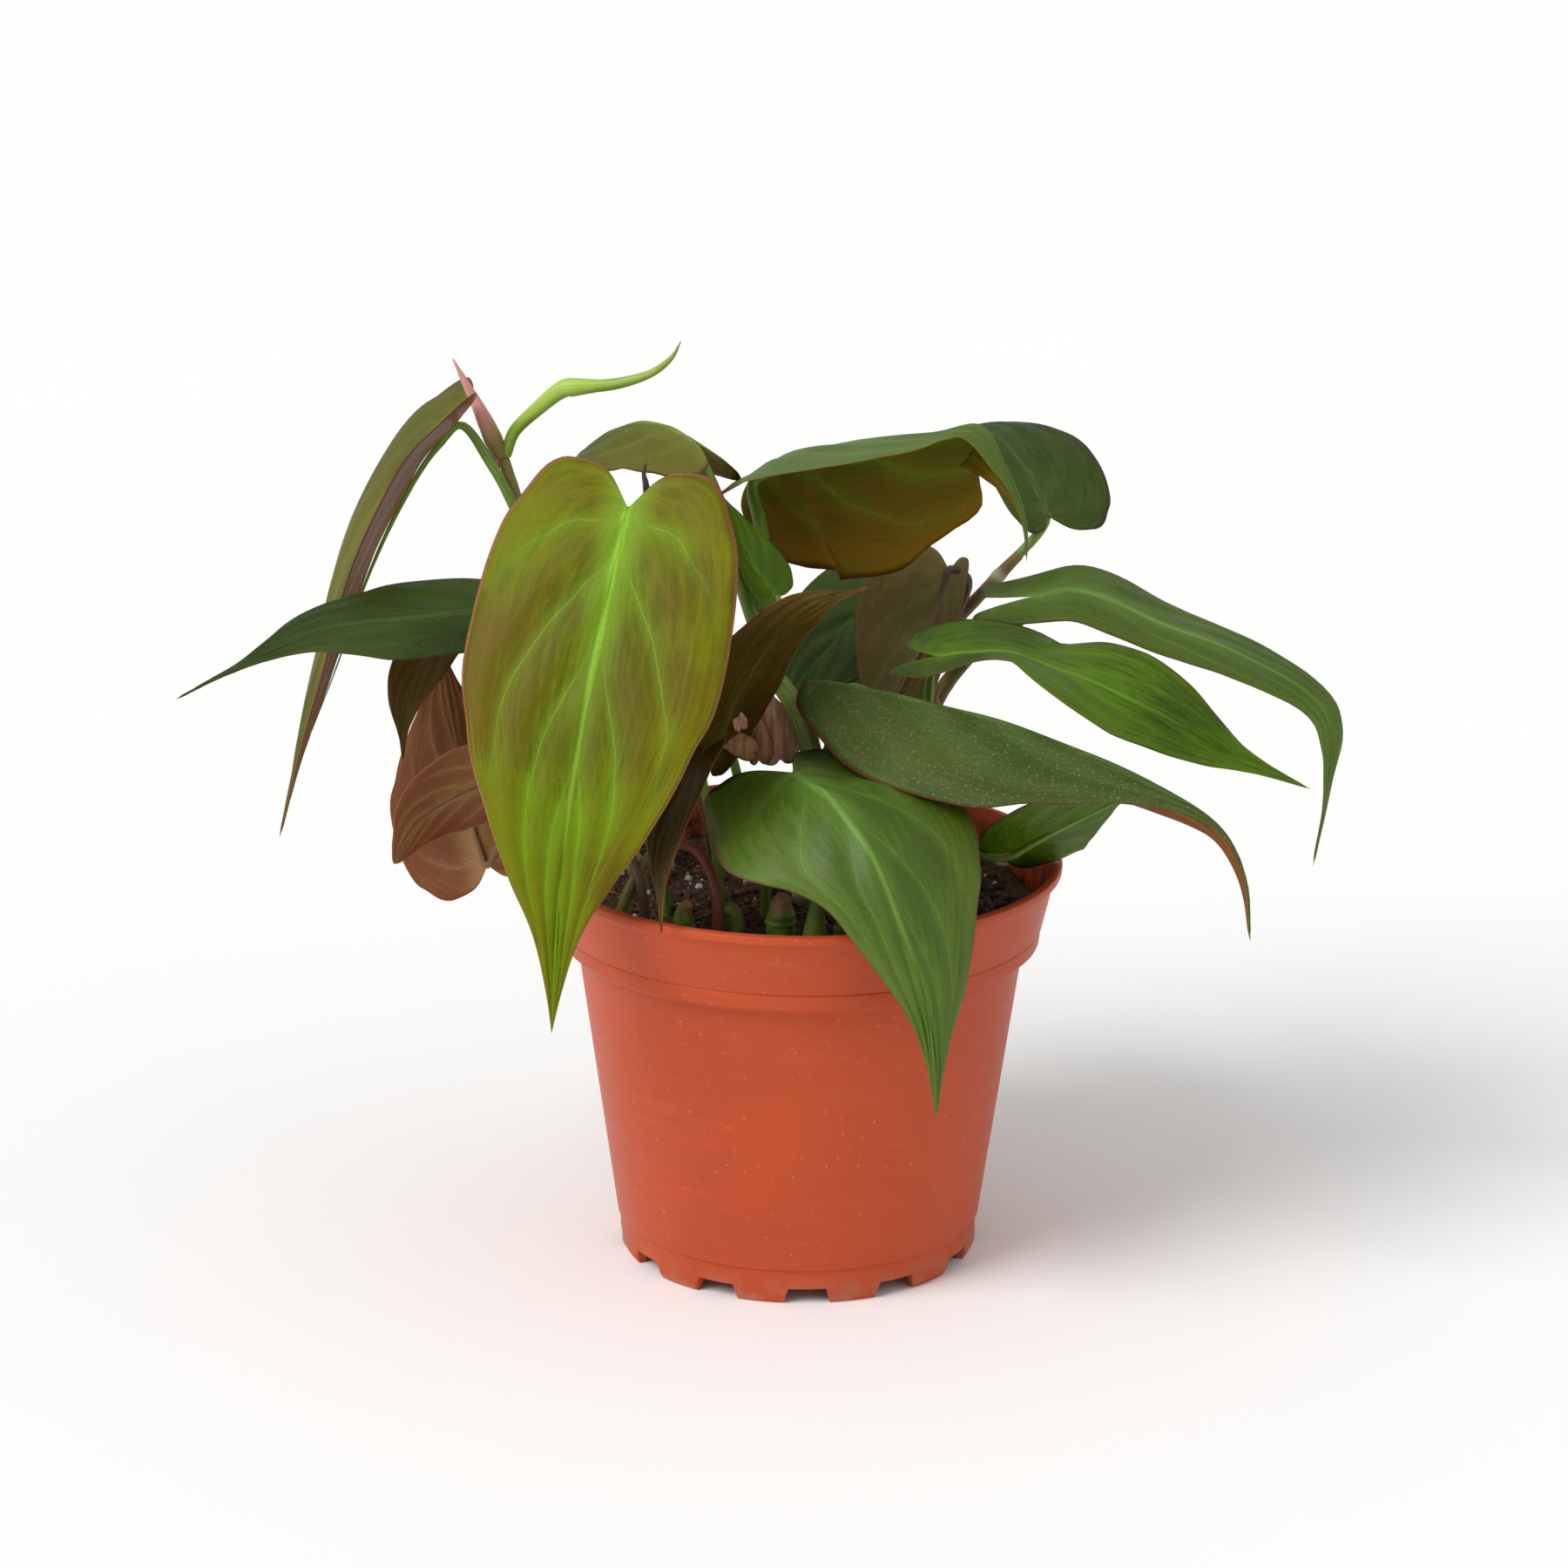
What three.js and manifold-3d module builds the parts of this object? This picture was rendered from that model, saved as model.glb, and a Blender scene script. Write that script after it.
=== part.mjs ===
// A young trailing philodendron in a round plastic nursery pot.
// Millimetres, +Z up. The group stands on the plane z = 0 with the middle of its bounding box at x = y = 0.
// The plant is placed in its own frame: origin on the pot's axis at the top of the soil, -Y to the front.
import * as THREE from "three";
import { mergeVertices } from "three/addons/utils/BufferGeometryUtils.js";
import Module from "manifold-3d";

const wasm = await Module();
wasm.setup();

// ---- Driving dimensions -------------------------------------------------------------------------------
const POT_HEIGHT = 86;
const RIM_RADIUS = 55;
const FOOT_RADIUS = 37.2;
const WALL = 1.1;
const BAND_HEIGHT = 17;          // the stepped band under the lip
const BAND_STEP = 3.6;           // how far the band stands out from the body below it
const BAND_INSET = 4.1;          // from the lip's outer edge in to the bottom of the band
const LIP_HEIGHT = 2.4;
const FLOOR_HEIGHT = 3.8;        // underside of the floor, above the feet's undersides
const FOOT_COUNT = 12;
const NOTCH_HEIGHT = 3.4;
const NOTCH_WIDTH = 9.6;         // between two feet, at the bottom
const NOTCH_SLANT = 0.9;         // each side of a notch leans in by this much
const FIRST_FOOT = -102;         // degrees from +X to the middle of the foot left of the front
const DRAIN_LENGTH = 6;
const DRAIN_WIDTH = 3.5;
const DRAIN_INSET = 4.5;         // from the foot's radius in to the slot
const SOIL_DEPTH_BELOW_RIM = 8;
const SOIL_MOUND = 1.2;          // the soil's middle stands above its edge
const ROOT_DEPTH = 12;           // how far stems go down into the soil
const BLADE_THICKNESS = 0.8;
const PETIOLE_RADIUS = 1.1;
const GAP = 0.3;                 // between neighbours that touch
const JOINT_GAP = 1.3;           // from a petiole's end to the blade that it carries
const HANG_CLEARANCE = 6;        // between the pot's widest edge and the middle of a leaf that hangs past it
const WALL_CLEARANCE = 3;        // between the pot's wall and the middle of a stump or air root inside it

// ---- How finely round things are divided ---------------------------------------------------------------
const POT_SIDES = 60;
const SOIL_SIDES = 40;
const BLADE_ROWS = 9;
const BLADE_COLUMNS = 6;

const RAD = Math.PI / 180;
const SOIL_TOP = POT_HEIGHT - SOIL_DEPTH_BELOW_RIM;

// Colours of the finishes, with roughness.
const FINISHES = {
  terracotta_plastic: [0xb9552f, 0.55],
  potting_soil: [0x2a1d16, 0.95],
  bronze_green_leaf: [0x5d6b1c, 0.5],
  mid_green_leaf: [0x3f7a3a, 0.5],
  dark_green_leaf: [0x2c4d30, 0.55],
  bright_green_leaf: [0x3f8a1c, 0.45],
  bronze_brown_leaf: [0x5a3a26, 0.55],
  green_stem: [0x86a84c, 0.5],
  brown_stem: [0x8a6040, 0.6],
  pink_sheath: [0xc98a76, 0.6],
};

function finish(name) {
  const [color, roughness] = FINISHES[name];
  return new THREE.MeshStandardMaterial({ name, color, roughness, metalness: 0, side: THREE.DoubleSide });
}

// ---- Solids -------------------------------------------------------------------------------------------
function solid(geometry) {
  const bare = geometry.clone();
  for (const name of Object.keys(bare.attributes)) if (name !== "position") bare.deleteAttribute(name);
  const merged = mergeVertices(bare, 1e-4);
  return new wasm.Manifold(new wasm.Mesh({
    numProp: 3,
    vertProperties: new Float32Array(merged.attributes.position.array),
    triVerts: new Uint32Array(merged.index.array),
  }));
}

function geometryOf(manifold) {
  const mesh = manifold.getMesh();
  const geometry = new THREE.BufferGeometry();
  geometry.setAttribute("position", new THREE.BufferAttribute(mesh.vertProperties, 3));
  geometry.setIndex(new THREE.BufferAttribute(mesh.triVerts, 1));
  geometry.computeVertexNormals();
  return geometry;
}

function cut(geometry, ...tools) {
  let body = solid(geometry);
  for (const tool of tools) body = body.subtract(solid(tool));
  return geometryOf(body);
}

function named(name, geometry, finishName) {
  const mesh = new THREE.Mesh(geometry, finish(finishName));
  mesh.name = name;
  return mesh;
}

const vector = (p) => new THREE.Vector3(...p);
const curveThrough = (points) => new THREE.CatmullRomCurve3(points.map(vector), false, "centripetal");

// A round tube with flat ends along a smooth curve.
function tube(points, radius, sides = 6, steps = 8) {
  const ring = [];
  for (let i = 0; i < sides; i++) {
    const angle = (i / sides) * 2 * Math.PI;
    ring.push(new THREE.Vector2(radius * Math.cos(angle), radius * Math.sin(angle)));
  }
  return new THREE.ExtrudeGeometry(new THREE.Shape(ring), {
    steps, bevelEnabled: false, extrudePath: curveThrough(points),
  });
}

// A round body along a curve whose radius changes, closed by a point at each end.
function spindle(points, radii, sides = 8, steps = 10) {
  const path = curveThrough(points);
  const frames = path.computeFrenetFrames(steps, false);
  const girth = new THREE.CatmullRomCurve3(radii.map((r, i) => new THREE.Vector3(i, r, 0)));
  const positions = [...path.getPointAt(0).toArray()];
  const index = [];
  for (let i = 0; i <= steps; i++) {
    const middle = path.getPointAt(i / steps);
    const radius = girth.getPoint(i / steps).y;
    for (let j = 0; j < sides; j++) {
      const angle = (j / sides) * 2 * Math.PI;
      const point = middle.clone()
        .addScaledVector(frames.normals[i], radius * Math.cos(angle))
        .addScaledVector(frames.binormals[i], radius * Math.sin(angle));
      positions.push(...point.toArray());
    }
  }
  const last = positions.length / 3;
  positions.push(...path.getPointAt(1).addScaledVector(frames.tangents[steps], radii.at(-1)).toArray());
  const at = (i, j) => 1 + i * sides + (j % sides);
  for (let j = 0; j < sides; j++) {
    index.push(0, at(0, j + 1), at(0, j));
    for (let i = 0; i < steps; i++) {
      index.push(at(i, j), at(i, j + 1), at(i + 1, j + 1), at(i, j), at(i + 1, j + 1), at(i + 1, j));
    }
    index.push(last, at(steps, j), at(steps, j + 1));
  }
  return facingOut(positions, index);
}

function facingOut(positions, index) {
  const geometry = new THREE.BufferGeometry();
  geometry.setAttribute("position", new THREE.Float32BufferAttribute(positions, 3));
  const volume = signedVolume(positions, index);
  geometry.setIndex(volume > 0 ? index : index.slice().reverse());
  return geometry;
}

function signedVolume(positions, index) {
  const at = (i) => new THREE.Vector3().fromArray(positions, 3 * i);
  let sum = 0;
  for (let i = 0; i < index.length; i += 3) sum += at(index[i]).dot(at(index[i + 1]).cross(at(index[i + 2])));
  return sum / 6;
}

// ---- Pot ----------------------------------------------------------------------------------------------
const BAND_BOTTOM = POT_HEIGHT - BAND_HEIGHT;
const BAND_RADIUS = RIM_RADIUS - BAND_INSET;
const BODY_TOP_RADIUS = BAND_RADIUS - BAND_STEP;
const LEDGE_HEIGHT = 7.4;        // top of the skirt that the feet are cut from
const LEDGE_STEP = 0.6;
const FOOT_TAPER = 0.9;          // the skirt is wider than the feet's undersides by this much
const FOOT_WALL = 1.6;
const PARTING_HEIGHT = 3.4;      // the line round the band, above its bottom
const BAND_SLOPE = 2.5;          // height over which the body widens into the band
const bodyRadius = (z) => {
  const share = (z - LEDGE_HEIGHT) / (BAND_BOTTOM - LEDGE_HEIGHT);
  return THREE.MathUtils.lerp(FOOT_RADIUS + FOOT_TAPER + LEDGE_STEP, BODY_TOP_RADIUS, share);
};

function pot() {
  const lipBottom = POT_HEIGHT - LIP_HEIGHT;
  const parting = BAND_BOTTOM + PARTING_HEIGHT;
  const outside = [
    [FOOT_RADIUS, 0],
    [FOOT_RADIUS + FOOT_TAPER, 1.5],
    [FOOT_RADIUS + FOOT_TAPER, LEDGE_HEIGHT],
    [bodyRadius(LEDGE_HEIGHT), LEDGE_HEIGHT + 0.4],
    [bodyRadius(BAND_BOTTOM - BAND_SLOPE), BAND_BOTTOM - BAND_SLOPE],
    [BAND_RADIUS - 0.5, BAND_BOTTOM],
    [BAND_RADIUS, parting],
    [RIM_RADIUS - 1.7, lipBottom - 1],
    [RIM_RADIUS - 0.1, lipBottom + 0.6],
    [RIM_RADIUS, POT_HEIGHT - 0.5],
    [RIM_RADIUS - 0.6, POT_HEIGHT],
  ];
  const inside = [
    [RIM_RADIUS - 2.0, POT_HEIGHT],
    [RIM_RADIUS - 1.7 - WALL, lipBottom - 1],
    [BAND_RADIUS - WALL, parting],
    [BAND_RADIUS - 0.5 - WALL, BAND_BOTTOM + 0.4],
    [bodyRadius(BAND_BOTTOM - BAND_SLOPE) - WALL, BAND_BOTTOM - 2.1],
    [bodyRadius(LEDGE_HEIGHT) - WALL, LEDGE_HEIGHT + 0.6],
    [FOOT_RADIUS - WALL, FLOOR_HEIGHT + WALL],
    [0, FLOOR_HEIGHT + WALL],
    [0, FLOOR_HEIGHT],
    [FOOT_RADIUS - FOOT_WALL, FLOOR_HEIGHT],
    [FOOT_RADIUS - FOOT_WALL, 0],
  ];
  const profile = [...outside, ...inside, outside[0]].map(([r, z]) => new THREE.Vector2(r, z));
  const shell = new THREE.LatheGeometry(profile, POT_SIDES).rotateX(Math.PI / 2);
  const tools = [];
  for (let i = 0; i < FOOT_COUNT; i++) {
    const angle = (FIRST_FOOT + (i + 0.5) * (360 / FOOT_COUNT)) * RAD;
    tools.push(notch().rotateZ(angle), drain().rotateZ(angle));
  }
  return named("pot", cut(shell, ...tools), "terracotta_plastic");
}

// The gap between two feet: a trapezium run out along +X through the skirt.
function notch() {
  const half = NOTCH_WIDTH / 2;
  const outline = new THREE.Shape([
    new THREE.Vector2(-half, -1),
    new THREE.Vector2(half, -1),
    new THREE.Vector2(half - NOTCH_SLANT, NOTCH_HEIGHT),
    new THREE.Vector2(-half + NOTCH_SLANT, NOTCH_HEIGHT),
  ]);
  const length = 9;
  const wedge = new THREE.ExtrudeGeometry(outline, { depth: length, bevelEnabled: false });
  return wedge.rotateX(Math.PI / 2).rotateZ(Math.PI / 2).translate(FOOT_RADIUS - 5, 0, 0);
}

// A drain slot through the floor, in line with a notch.
function drain() {
  return new THREE.BoxGeometry(DRAIN_LENGTH, DRAIN_WIDTH, 3 * WALL)
    .translate(FOOT_RADIUS - DRAIN_INSET - DRAIN_LENGTH / 2, 0, FLOOR_HEIGHT + WALL / 2);
}

// ---- Soil ---------------------------------------------------------------------------------------------
function soil(rootedTools) {
  const bottom = FLOOR_HEIGHT + WALL + GAP;
  const clear = WALL + GAP;
  const profile = [
    [0, bottom],
    [FOOT_RADIUS - clear - 0.4, bottom],
    [bodyRadius(LEDGE_HEIGHT) - clear - 0.1, LEDGE_HEIGHT + 1],
    [bodyRadius(BAND_BOTTOM - BAND_SLOPE) - clear - 0.1, BAND_BOTTOM - 2.1],
    [BAND_RADIUS - 0.5 - clear - 0.4, BAND_BOTTOM + 1.0],
    [BAND_RADIUS - clear - 0.3, Math.max(SOIL_TOP - SOIL_MOUND, BAND_BOTTOM + 2)],
    [RIM_RADIUS * 0.5, SOIL_TOP - 0.3],
    [0, SOIL_TOP],
  ];
  const ball = new THREE.LatheGeometry(profile.map(([r, z]) => new THREE.Vector2(r, z)), SOIL_SIDES);
  return named("soil", cut(ball.rotateX(Math.PI / 2), ...rootedTools), "potting_soil");
}

// ---- Stems --------------------------------------------------------------------------------------------
// Points in the plant's frame, from the root end up.
const STEMS = {
  stem_centre: {
    points: [
      [1, -6, -ROOT_DEPTH], [1, -7, 14], [2, -8, 32], [-2, -6, 43], [-7, -3, 50], [-8, 1, 58],
      [-6, 4, 65],
    ],
    radius: 2.3, finish: "green_stem",
  },
  stem_right: {
    points: [[22, 6, -ROOT_DEPTH], [25, 10, 20], [28, 12, 38], [35, 13, 48], [40, 13, 53]],
    radius: 1.9, finish: "brown_stem",
  },
  stem_left: {
    points: [[-30, 4, -ROOT_DEPTH], [-38, 5, 12], [-50, 10, 46], [-59, 15, 77], [-63, 18, 89]],
    radius: 1.7, finish: "brown_stem",
  },
  stem_back: {
    points: [[8, 16, -ROOT_DEPTH], [11, 23, 22], [24, 28, 42], [36, 30, 55], [46, 30, 66]],
    radius: 1.6, finish: "brown_stem",
  },
  stem_left_low: {
    points: [[-24, 16, -ROOT_DEPTH], [-34, 20, 8], [-48, 22, 24], [-58, 24, 38]],
    radius: 1.6, finish: "green_stem",
  },
};

const toPot = (p) => [p[0], p[1], p[2] + SOIL_TOP];
const stemCurve = (name) => curveThrough(STEMS[name].points.map(toPot));
const stemGeometry = (name, extra = 0) => tube(
  STEMS[name].points.map(toPot), STEMS[name].radius + extra, 8, 14,
);

// ---- Leaves -------------------------------------------------------------------------------------------
// midrib: from the petiole's joint to the tip. half: the widths of the left and right halves, seen from above
// with the tip ahead. faces: the way the upper side looks, from the joint to the tip. fold: how far each half
// is raised, in degrees. rise: how far the margins curl up. lobes: how far the two lobes reach back past the
// joint. slim: a power that narrows the ends of each half. waist: how far each half narrows past its lobe.
// hangs: how far the midrib stays from the rim, where the leaf hangs past it. root: the petiole's foot in the
// soil, or stem and at: its place on a stem. via: the petiole's route.
const LEAVES = [
  {
    name: "front_heart", finish: "bronze_green_leaf", half: [27, 27], fold: [6, 6], rise: -2,
    midrib: [
      [-35.5, -22, 88], [-38.5, -29, 75], [-41, -35, 63], [-44, -42, 48.5], [-46.2, -48, 34],
      [-48.2, -51, 18.5], [-50, -54, -13],
    ],
    faces: [[-0.22, -0.8, 0.5], [0, -0.95, 0.3]],
    root: [-28, -14], via: [[-29, -10, 26], [-27, -5, 58], [-31, -11, 79]],
  },
  {
    name: "front_low", finish: "mid_green_leaf", half: [27, 25], fold: [-20, -12], waist: [0, 0.45],
    rise: -2, lobes: 1.9, hangs: HANG_CLEARANCE,
    midrib: [
      [-2, -28, 34.5], [5, -42, 33.5], [12, -52, 27.6], [18.9, -60, 14.8], [24.3, -63, -0.5],
      [26.5, -64, -14.8], [27.2, -64, -27],
    ],
    faces: [[-0.05, -0.5, 0.86], [0, -0.75, 0.65], [0.2, -0.95, 0.2]],
    root: [-7, -15], via: [[-7, -16, 14], [-4, -20, 28]],
  },
  {
    name: "right_dark", finish: "dark_green_leaf", half: [18, 23], fold: [-74, -6], slim: [0.8, 2.2],
    rise: -1,
    midrib: [
      [5, -9, 49], [19.3, -15, 47.5], [40.2, -26, 45], [64.3, -37, 38.5], [83.1, -46, 29.5],
      [88.5, -50, 20], [90, -52, 7],
    ],
    faces: [[0, -0.5, 0.86], [0, -0.5, 0.86], [0.6, -0.5, 0.6]],
    stem: "stem_centre", at: 0.36, via: [[6, -8, 36]],
  },
  {
    name: "right_bright", finish: "bright_green_leaf", half: [15, 15], fold: [6, 10], rise: 0, lobes: 1.2,
    midrib: [
      [27.7, -2, 52], [41, -6, 54], [55.2, -12, 51], [71.2, -16, 45], [85.5, -18, 37.2],
      [104.8, -16, 28.2],
    ],
    faces: [[0, -0.3, 0.95], [0, 0.1, 0.99], [0.05, -0.6, 0.8], [0.1, -0.8, 0.5], [0.1, -0.8, 0.5]],
    stem: "stem_right", at: 0.5, via: [[26, 3, 38]],
  },
  {
    name: "far_right", finish: "mid_green_leaf", half: [12, 10], fold: [-6, -10], rise: 0, lobes: 1.6,
    midrib: [
      [48.5, 16, 60.5], [58.2, 14, 62.3], [74.7, 12, 56], [91.1, 10, 50], [105.9, 8, 42.1],
      [110.9, 5, 36.4], [110.7, 3, 23.6], [108.1, 2, 5.7],
    ],
    faces: [[-0.3, -0.3, 0.9], [0, -0.2, 0.97], [0.4, -0.3, 0.86], [0.9, -0.4, 0.2]],
    stem: "stem_right", at: 0.93, via: [[45, 16, 54]],
  },
  {
    name: "back_right", finish: "dark_green_leaf", half: [9, 17], fold: [0, 0], rise: 0,
    midrib: [[52, 32, 74], [48, 43, 81], [41, 57, 86], [33, 70, 84], [27, 80, 74]],
    faces: [[0.25, -0.65, 0.7], [0.1, -0.3, 0.95], [-0.1, 0.3, 0.95]],
    stem: "stem_back", at: 0.93, via: [],
  },
  {
    name: "top", finish: "dark_green_leaf", half: [29, 23], fold: [-60, -30], rise: 0,
    midrib: [
      [-11, 15, 86], [-3, 12, 91.6], [13.7, 8, 95.6], [28, 4, 98.3], [36.4, 1, 100], [41.5, -4, 92.1],
      [45.4, -8, 82.1], [45.8, -10, 74.4],
    ],
    faces: [[0, 0.5, 0.86], [0, 0.5, 0.86], [0.3, 0.4, 0.8], [0.8, 0.1, 0.5]],
    stem: "stem_centre", at: 0.97, via: [[-9, 9, 77]],
  },
  {
    name: "top_left", finish: "dark_green_leaf", half: [15, 16], fold: [-10, -55], rise: -1, lobes: 2.4,
    midrib: [[-22.6, 0, 97], [-29.4, 6, 99], [-36.8, 12, 97.5], [-44.4, 20, 91.5], [-49.2, 30, 83.6]],
    faces: [[0.2, -0.45, 0.86], [-0.1, -0.3, 0.9], [-0.4, 0.1, 0.8]],
    stem: "stem_centre", at: 0.84, via: [[-13, -2, 68], [-18, -3, 86], [-21, -3, 93]],
  },
  {
    name: "centre_edge", finish: "dark_green_leaf", half: [7, 5], fold: [20, 20], rise: 0,
    midrib: [[-6, -6, 66], [-11, -10, 74], [-15, -9, 83], [-19, -7, 90]],
    faces: [[0.75, -0.6, 0.2], [0.7, -0.3, 0.5]],
    stem: "stem_centre", at: 0.91, via: [],
  },
  {
    name: "centre_bronze", finish: "bronze_brown_leaf", half: [16, 11], fold: [0, 0], rise: 0,
    midrib: [[-19, -13, 32], [-14, -17, 46], [-6, -23, 61], [2, -28, 69], [13, -33, 75]],
    faces: [[0.7, -0.6, -0.3], [0.5, -0.7, -0.4], [0.2, -0.5, 0.8]],
    root: [-18, -4], via: [[-19, -6, 14], [-22, -7, 26]],
  },
  {
    name: "hanging_dark", finish: "dark_green_leaf", half: [7, 7], fold: [10, 10], rise: 0,
    midrib: [[-20, -27, 38], [-23, -34, 35], [-26, -41, 28], [-28, -48, 19], [-28, -53, 8]],
    faces: [[-0.5, -0.3, 0.8], [-0.7, -0.6, 0.3]],
    root: [-15, -20], via: [[-18, -20, 18], [-20.5, -22.5, 33]],
  },
  {
    name: "left_low", finish: "dark_green_leaf", half: [11, 15], fold: [-8, -12], slim: [1.5, 1.5], rise: 0,
    midrib: [
      [-57.4, -12, 64], [-71.6, -14, 63.5], [-83.9, -16, 62.6], [-97.9, -18, 61.2], [-110.1, -21, 56.4],
      [-127.7, -24, 47.7],
    ],
    faces: [[0, -0.45, 0.9], [-0.1, -0.5, 0.86]],
    stem: "stem_left", at: 0.55, via: [[-52, 0, 57]],
  },
  {
    name: "left_tall", finish: "dark_green_leaf", half: [15, 18], fold: [42, -5], rise: 0,
    midrib: [
      [-72.5, 16, 97], [-78.7, 15, 90.5], [-86, 13, 77.9], [-92.4, 11, 63.3], [-98, 9, 46.8],
      [-105.6, 7, 26.4], [-110.4, 5, 9.3],
    ],
    faces: [[-0.75, -0.45, 0.45], [-0.8, -0.5, 0.3]],
    stem: "stem_left", at: 0.86, via: [[-65, 14, 88]],
  },
  {
    name: "left_small", finish: "bronze_brown_leaf", half: [8, 8], fold: [8, 8], rise: 0,
    midrib: [[-74, 26, 52], [-80, 22, 44], [-84, 19, 36], [-85, 17, 23]],
    faces: [[-0.5, -0.6, 0.6], [-0.5, -0.8, 0.3]],
    stem: "stem_left_low", at: 0.92, via: [[-66, 26, 48]],
  },
  {
    name: "left_mauve", finish: "bronze_brown_leaf", half: [12, 18], fold: [6, 6], rise: 0,
    hangs: HANG_CLEARANCE + 7,
    midrib: [[-67.2, 19, -1], [-70.1, 22, 6], [-73.1, 28, 18.5], [-76.1, 33, 32.7], [-78.1, 36, 46]],
    faces: [[0.1, 0.9, -0.2], [0.1, 0.9, 0.2]],
    stem: "stem_left_low", at: 0.5, via: [[-50, 15, 32], [-60.5, 14, 14]],
  },
  {
    name: "left_tongue", finish: "bronze_brown_leaf", half: [13, 14], fold: [5, 5], slim: [0.6, 0.6], rise: 0,
    midrib: [[-59, 0, 25.5], [-69.3, -1, 22.4], [-78.3, -3, 17], [-85.3, -5, 7]],
    faces: [[-0.3, 0.75, 0.6], [-0.4, 0.8, 0.3]],
    stem: "stem_left_low", at: 0.4, via: [[-41, 14, 16], [-47, 1, 22]],
  },
  {
    name: "centre_grey", finish: "bronze_brown_leaf", half: [17, 5], fold: [8, 8], rise: 0,
    midrib: [[31, 24, 64], [26, 20, 50], [19, 16, 36], [13, 12, 24]],
    faces: [[0.3, 0.8, 0.4], [0.2, 0.8, -0.2]],
    stem: "stem_back", at: 0.78, via: [[35, 27, 61]],
  },
  {
    name: "centre_dark", finish: "dark_green_leaf", half: [13, 13], fold: [5, 5], rise: 0,
    midrib: [[17, 40, 56], [8, 34, 47], [0, 27, 37], [-4, 21, 27]],
    faces: [[-0.3, -0.7, 0.6], [-0.2, -0.8, 0.3]],
    stem: "stem_back", at: 0.6, via: [[22, 38, 50]],
  },
  {
    name: "right_low", finish: "bright_green_leaf", half: [17, 13], fold: [5, 5], rise: 0, lobes: 1.5,
    midrib: [[43.5, -14, 13.6], [52, -17, 19.5], [63, -17, 25], [72, -14, 29.5]],
    faces: [[-0.3, 0.6, 0.5], [-0.1, 0.6, 0.7]],
    stem: "stem_right", at: 0.42, via: [[31, -1, 27], [33, -9, 19], [38, -12, 12]],
  },
  {
    name: "back_left", finish: "dark_green_leaf", half: [18, 18], fold: [-8, -8], rise: 0,
    midrib: [[-36, 36, 38], [-46, 46, 32], [-56, 54, 16], [-60, 54, -2], [-59, 48, -18]],
    faces: [[-0.4, 0.4, 0.8], [-0.7, 0.6, 0.3]],
    root: [-18, 26], via: [[-22, 29, 16], [-30, 33, 30]],
  },
  {
    name: "back_mid", finish: "mid_green_leaf", half: [18, 18], fold: [-8, -8], rise: 0,
    midrib: [[14, 50, 46], [15, 62, 44], [16, 72, 32], [17, 76, 14], [17, 76, -8]],
    faces: [[0, 0.4, 0.9], [0, 0.95, 0.3]],
    root: [6, 28], via: [[7, 32, 20], [11, 43, 40]],
  },
  {
    name: "back_upper", finish: "bronze_green_leaf", half: [19, 19], fold: [-8, -8], rise: 0,
    midrib: [[-34, 24, 64], [-38, 38, 68], [-42, 54, 60], [-44, 64, 42], [-44, 66, 24]],
    faces: [[-0.1, 0.2, 0.97], [-0.1, 0.95, 0.3]],
    root: [-10, 22], via: [[-14, 22, 20], [-26, 21, 52]],
  },
];

// A blade's outline from the notch round one lobe to the tip: share of the length, share of the half width.
const OUTLINE = new THREE.CatmullRomCurve3([
  [0, 0], [-0.07, 0.25], [-0.08, 0.52], [0, 0.82], [0.12, 0.97], [0.27, 1],
  [0.45, 0.86], [0.6, 0.62], [0.72, 0.37], [0.82, 0.17], [0.92, 0.06], [1, 0],
].map(([u, v]) => new THREE.Vector3(u, v, 0)));

const WAIST_SPAN = [0.12, 0.5];   // the shares of the length between which a half with a waist narrows
const HANG_HEIGHT = 24;
const HANG_FADE = 16;             // the clearance comes in over this height
const STALK_ZONE = 0.7;           // share of the rim's radius within which points belong to stalks

// Moves a point of a leaf that hangs past the pot's edge out to a clearance from it. Points higher than
// HANG_HEIGHT over the rim stay, and so do those of the stalk over the soil.
function clearOfPot([x, y, z], clearance) {
  const reach = Math.hypot(x, y);
  const need = RIM_RADIUS + clearance;
  const below = THREE.MathUtils.clamp((SOIL_DEPTH_BELOW_RIM + HANG_HEIGHT - z) / HANG_FADE, 0, 1);
  const grow = reach < STALK_ZONE * RIM_RADIUS ? 1 : 1 + below * Math.max(0, need / reach - 1);
  return [x * grow, y * grow, z];
}

function between(list, share) {
  const place = THREE.MathUtils.clamp(share, 0, 1) * (list.length - 1);
  const low = Math.min(Math.floor(place), list.length - 2);
  return vector(list[low]).lerp(vector(list[low + 1]), place - low);
}

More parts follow.
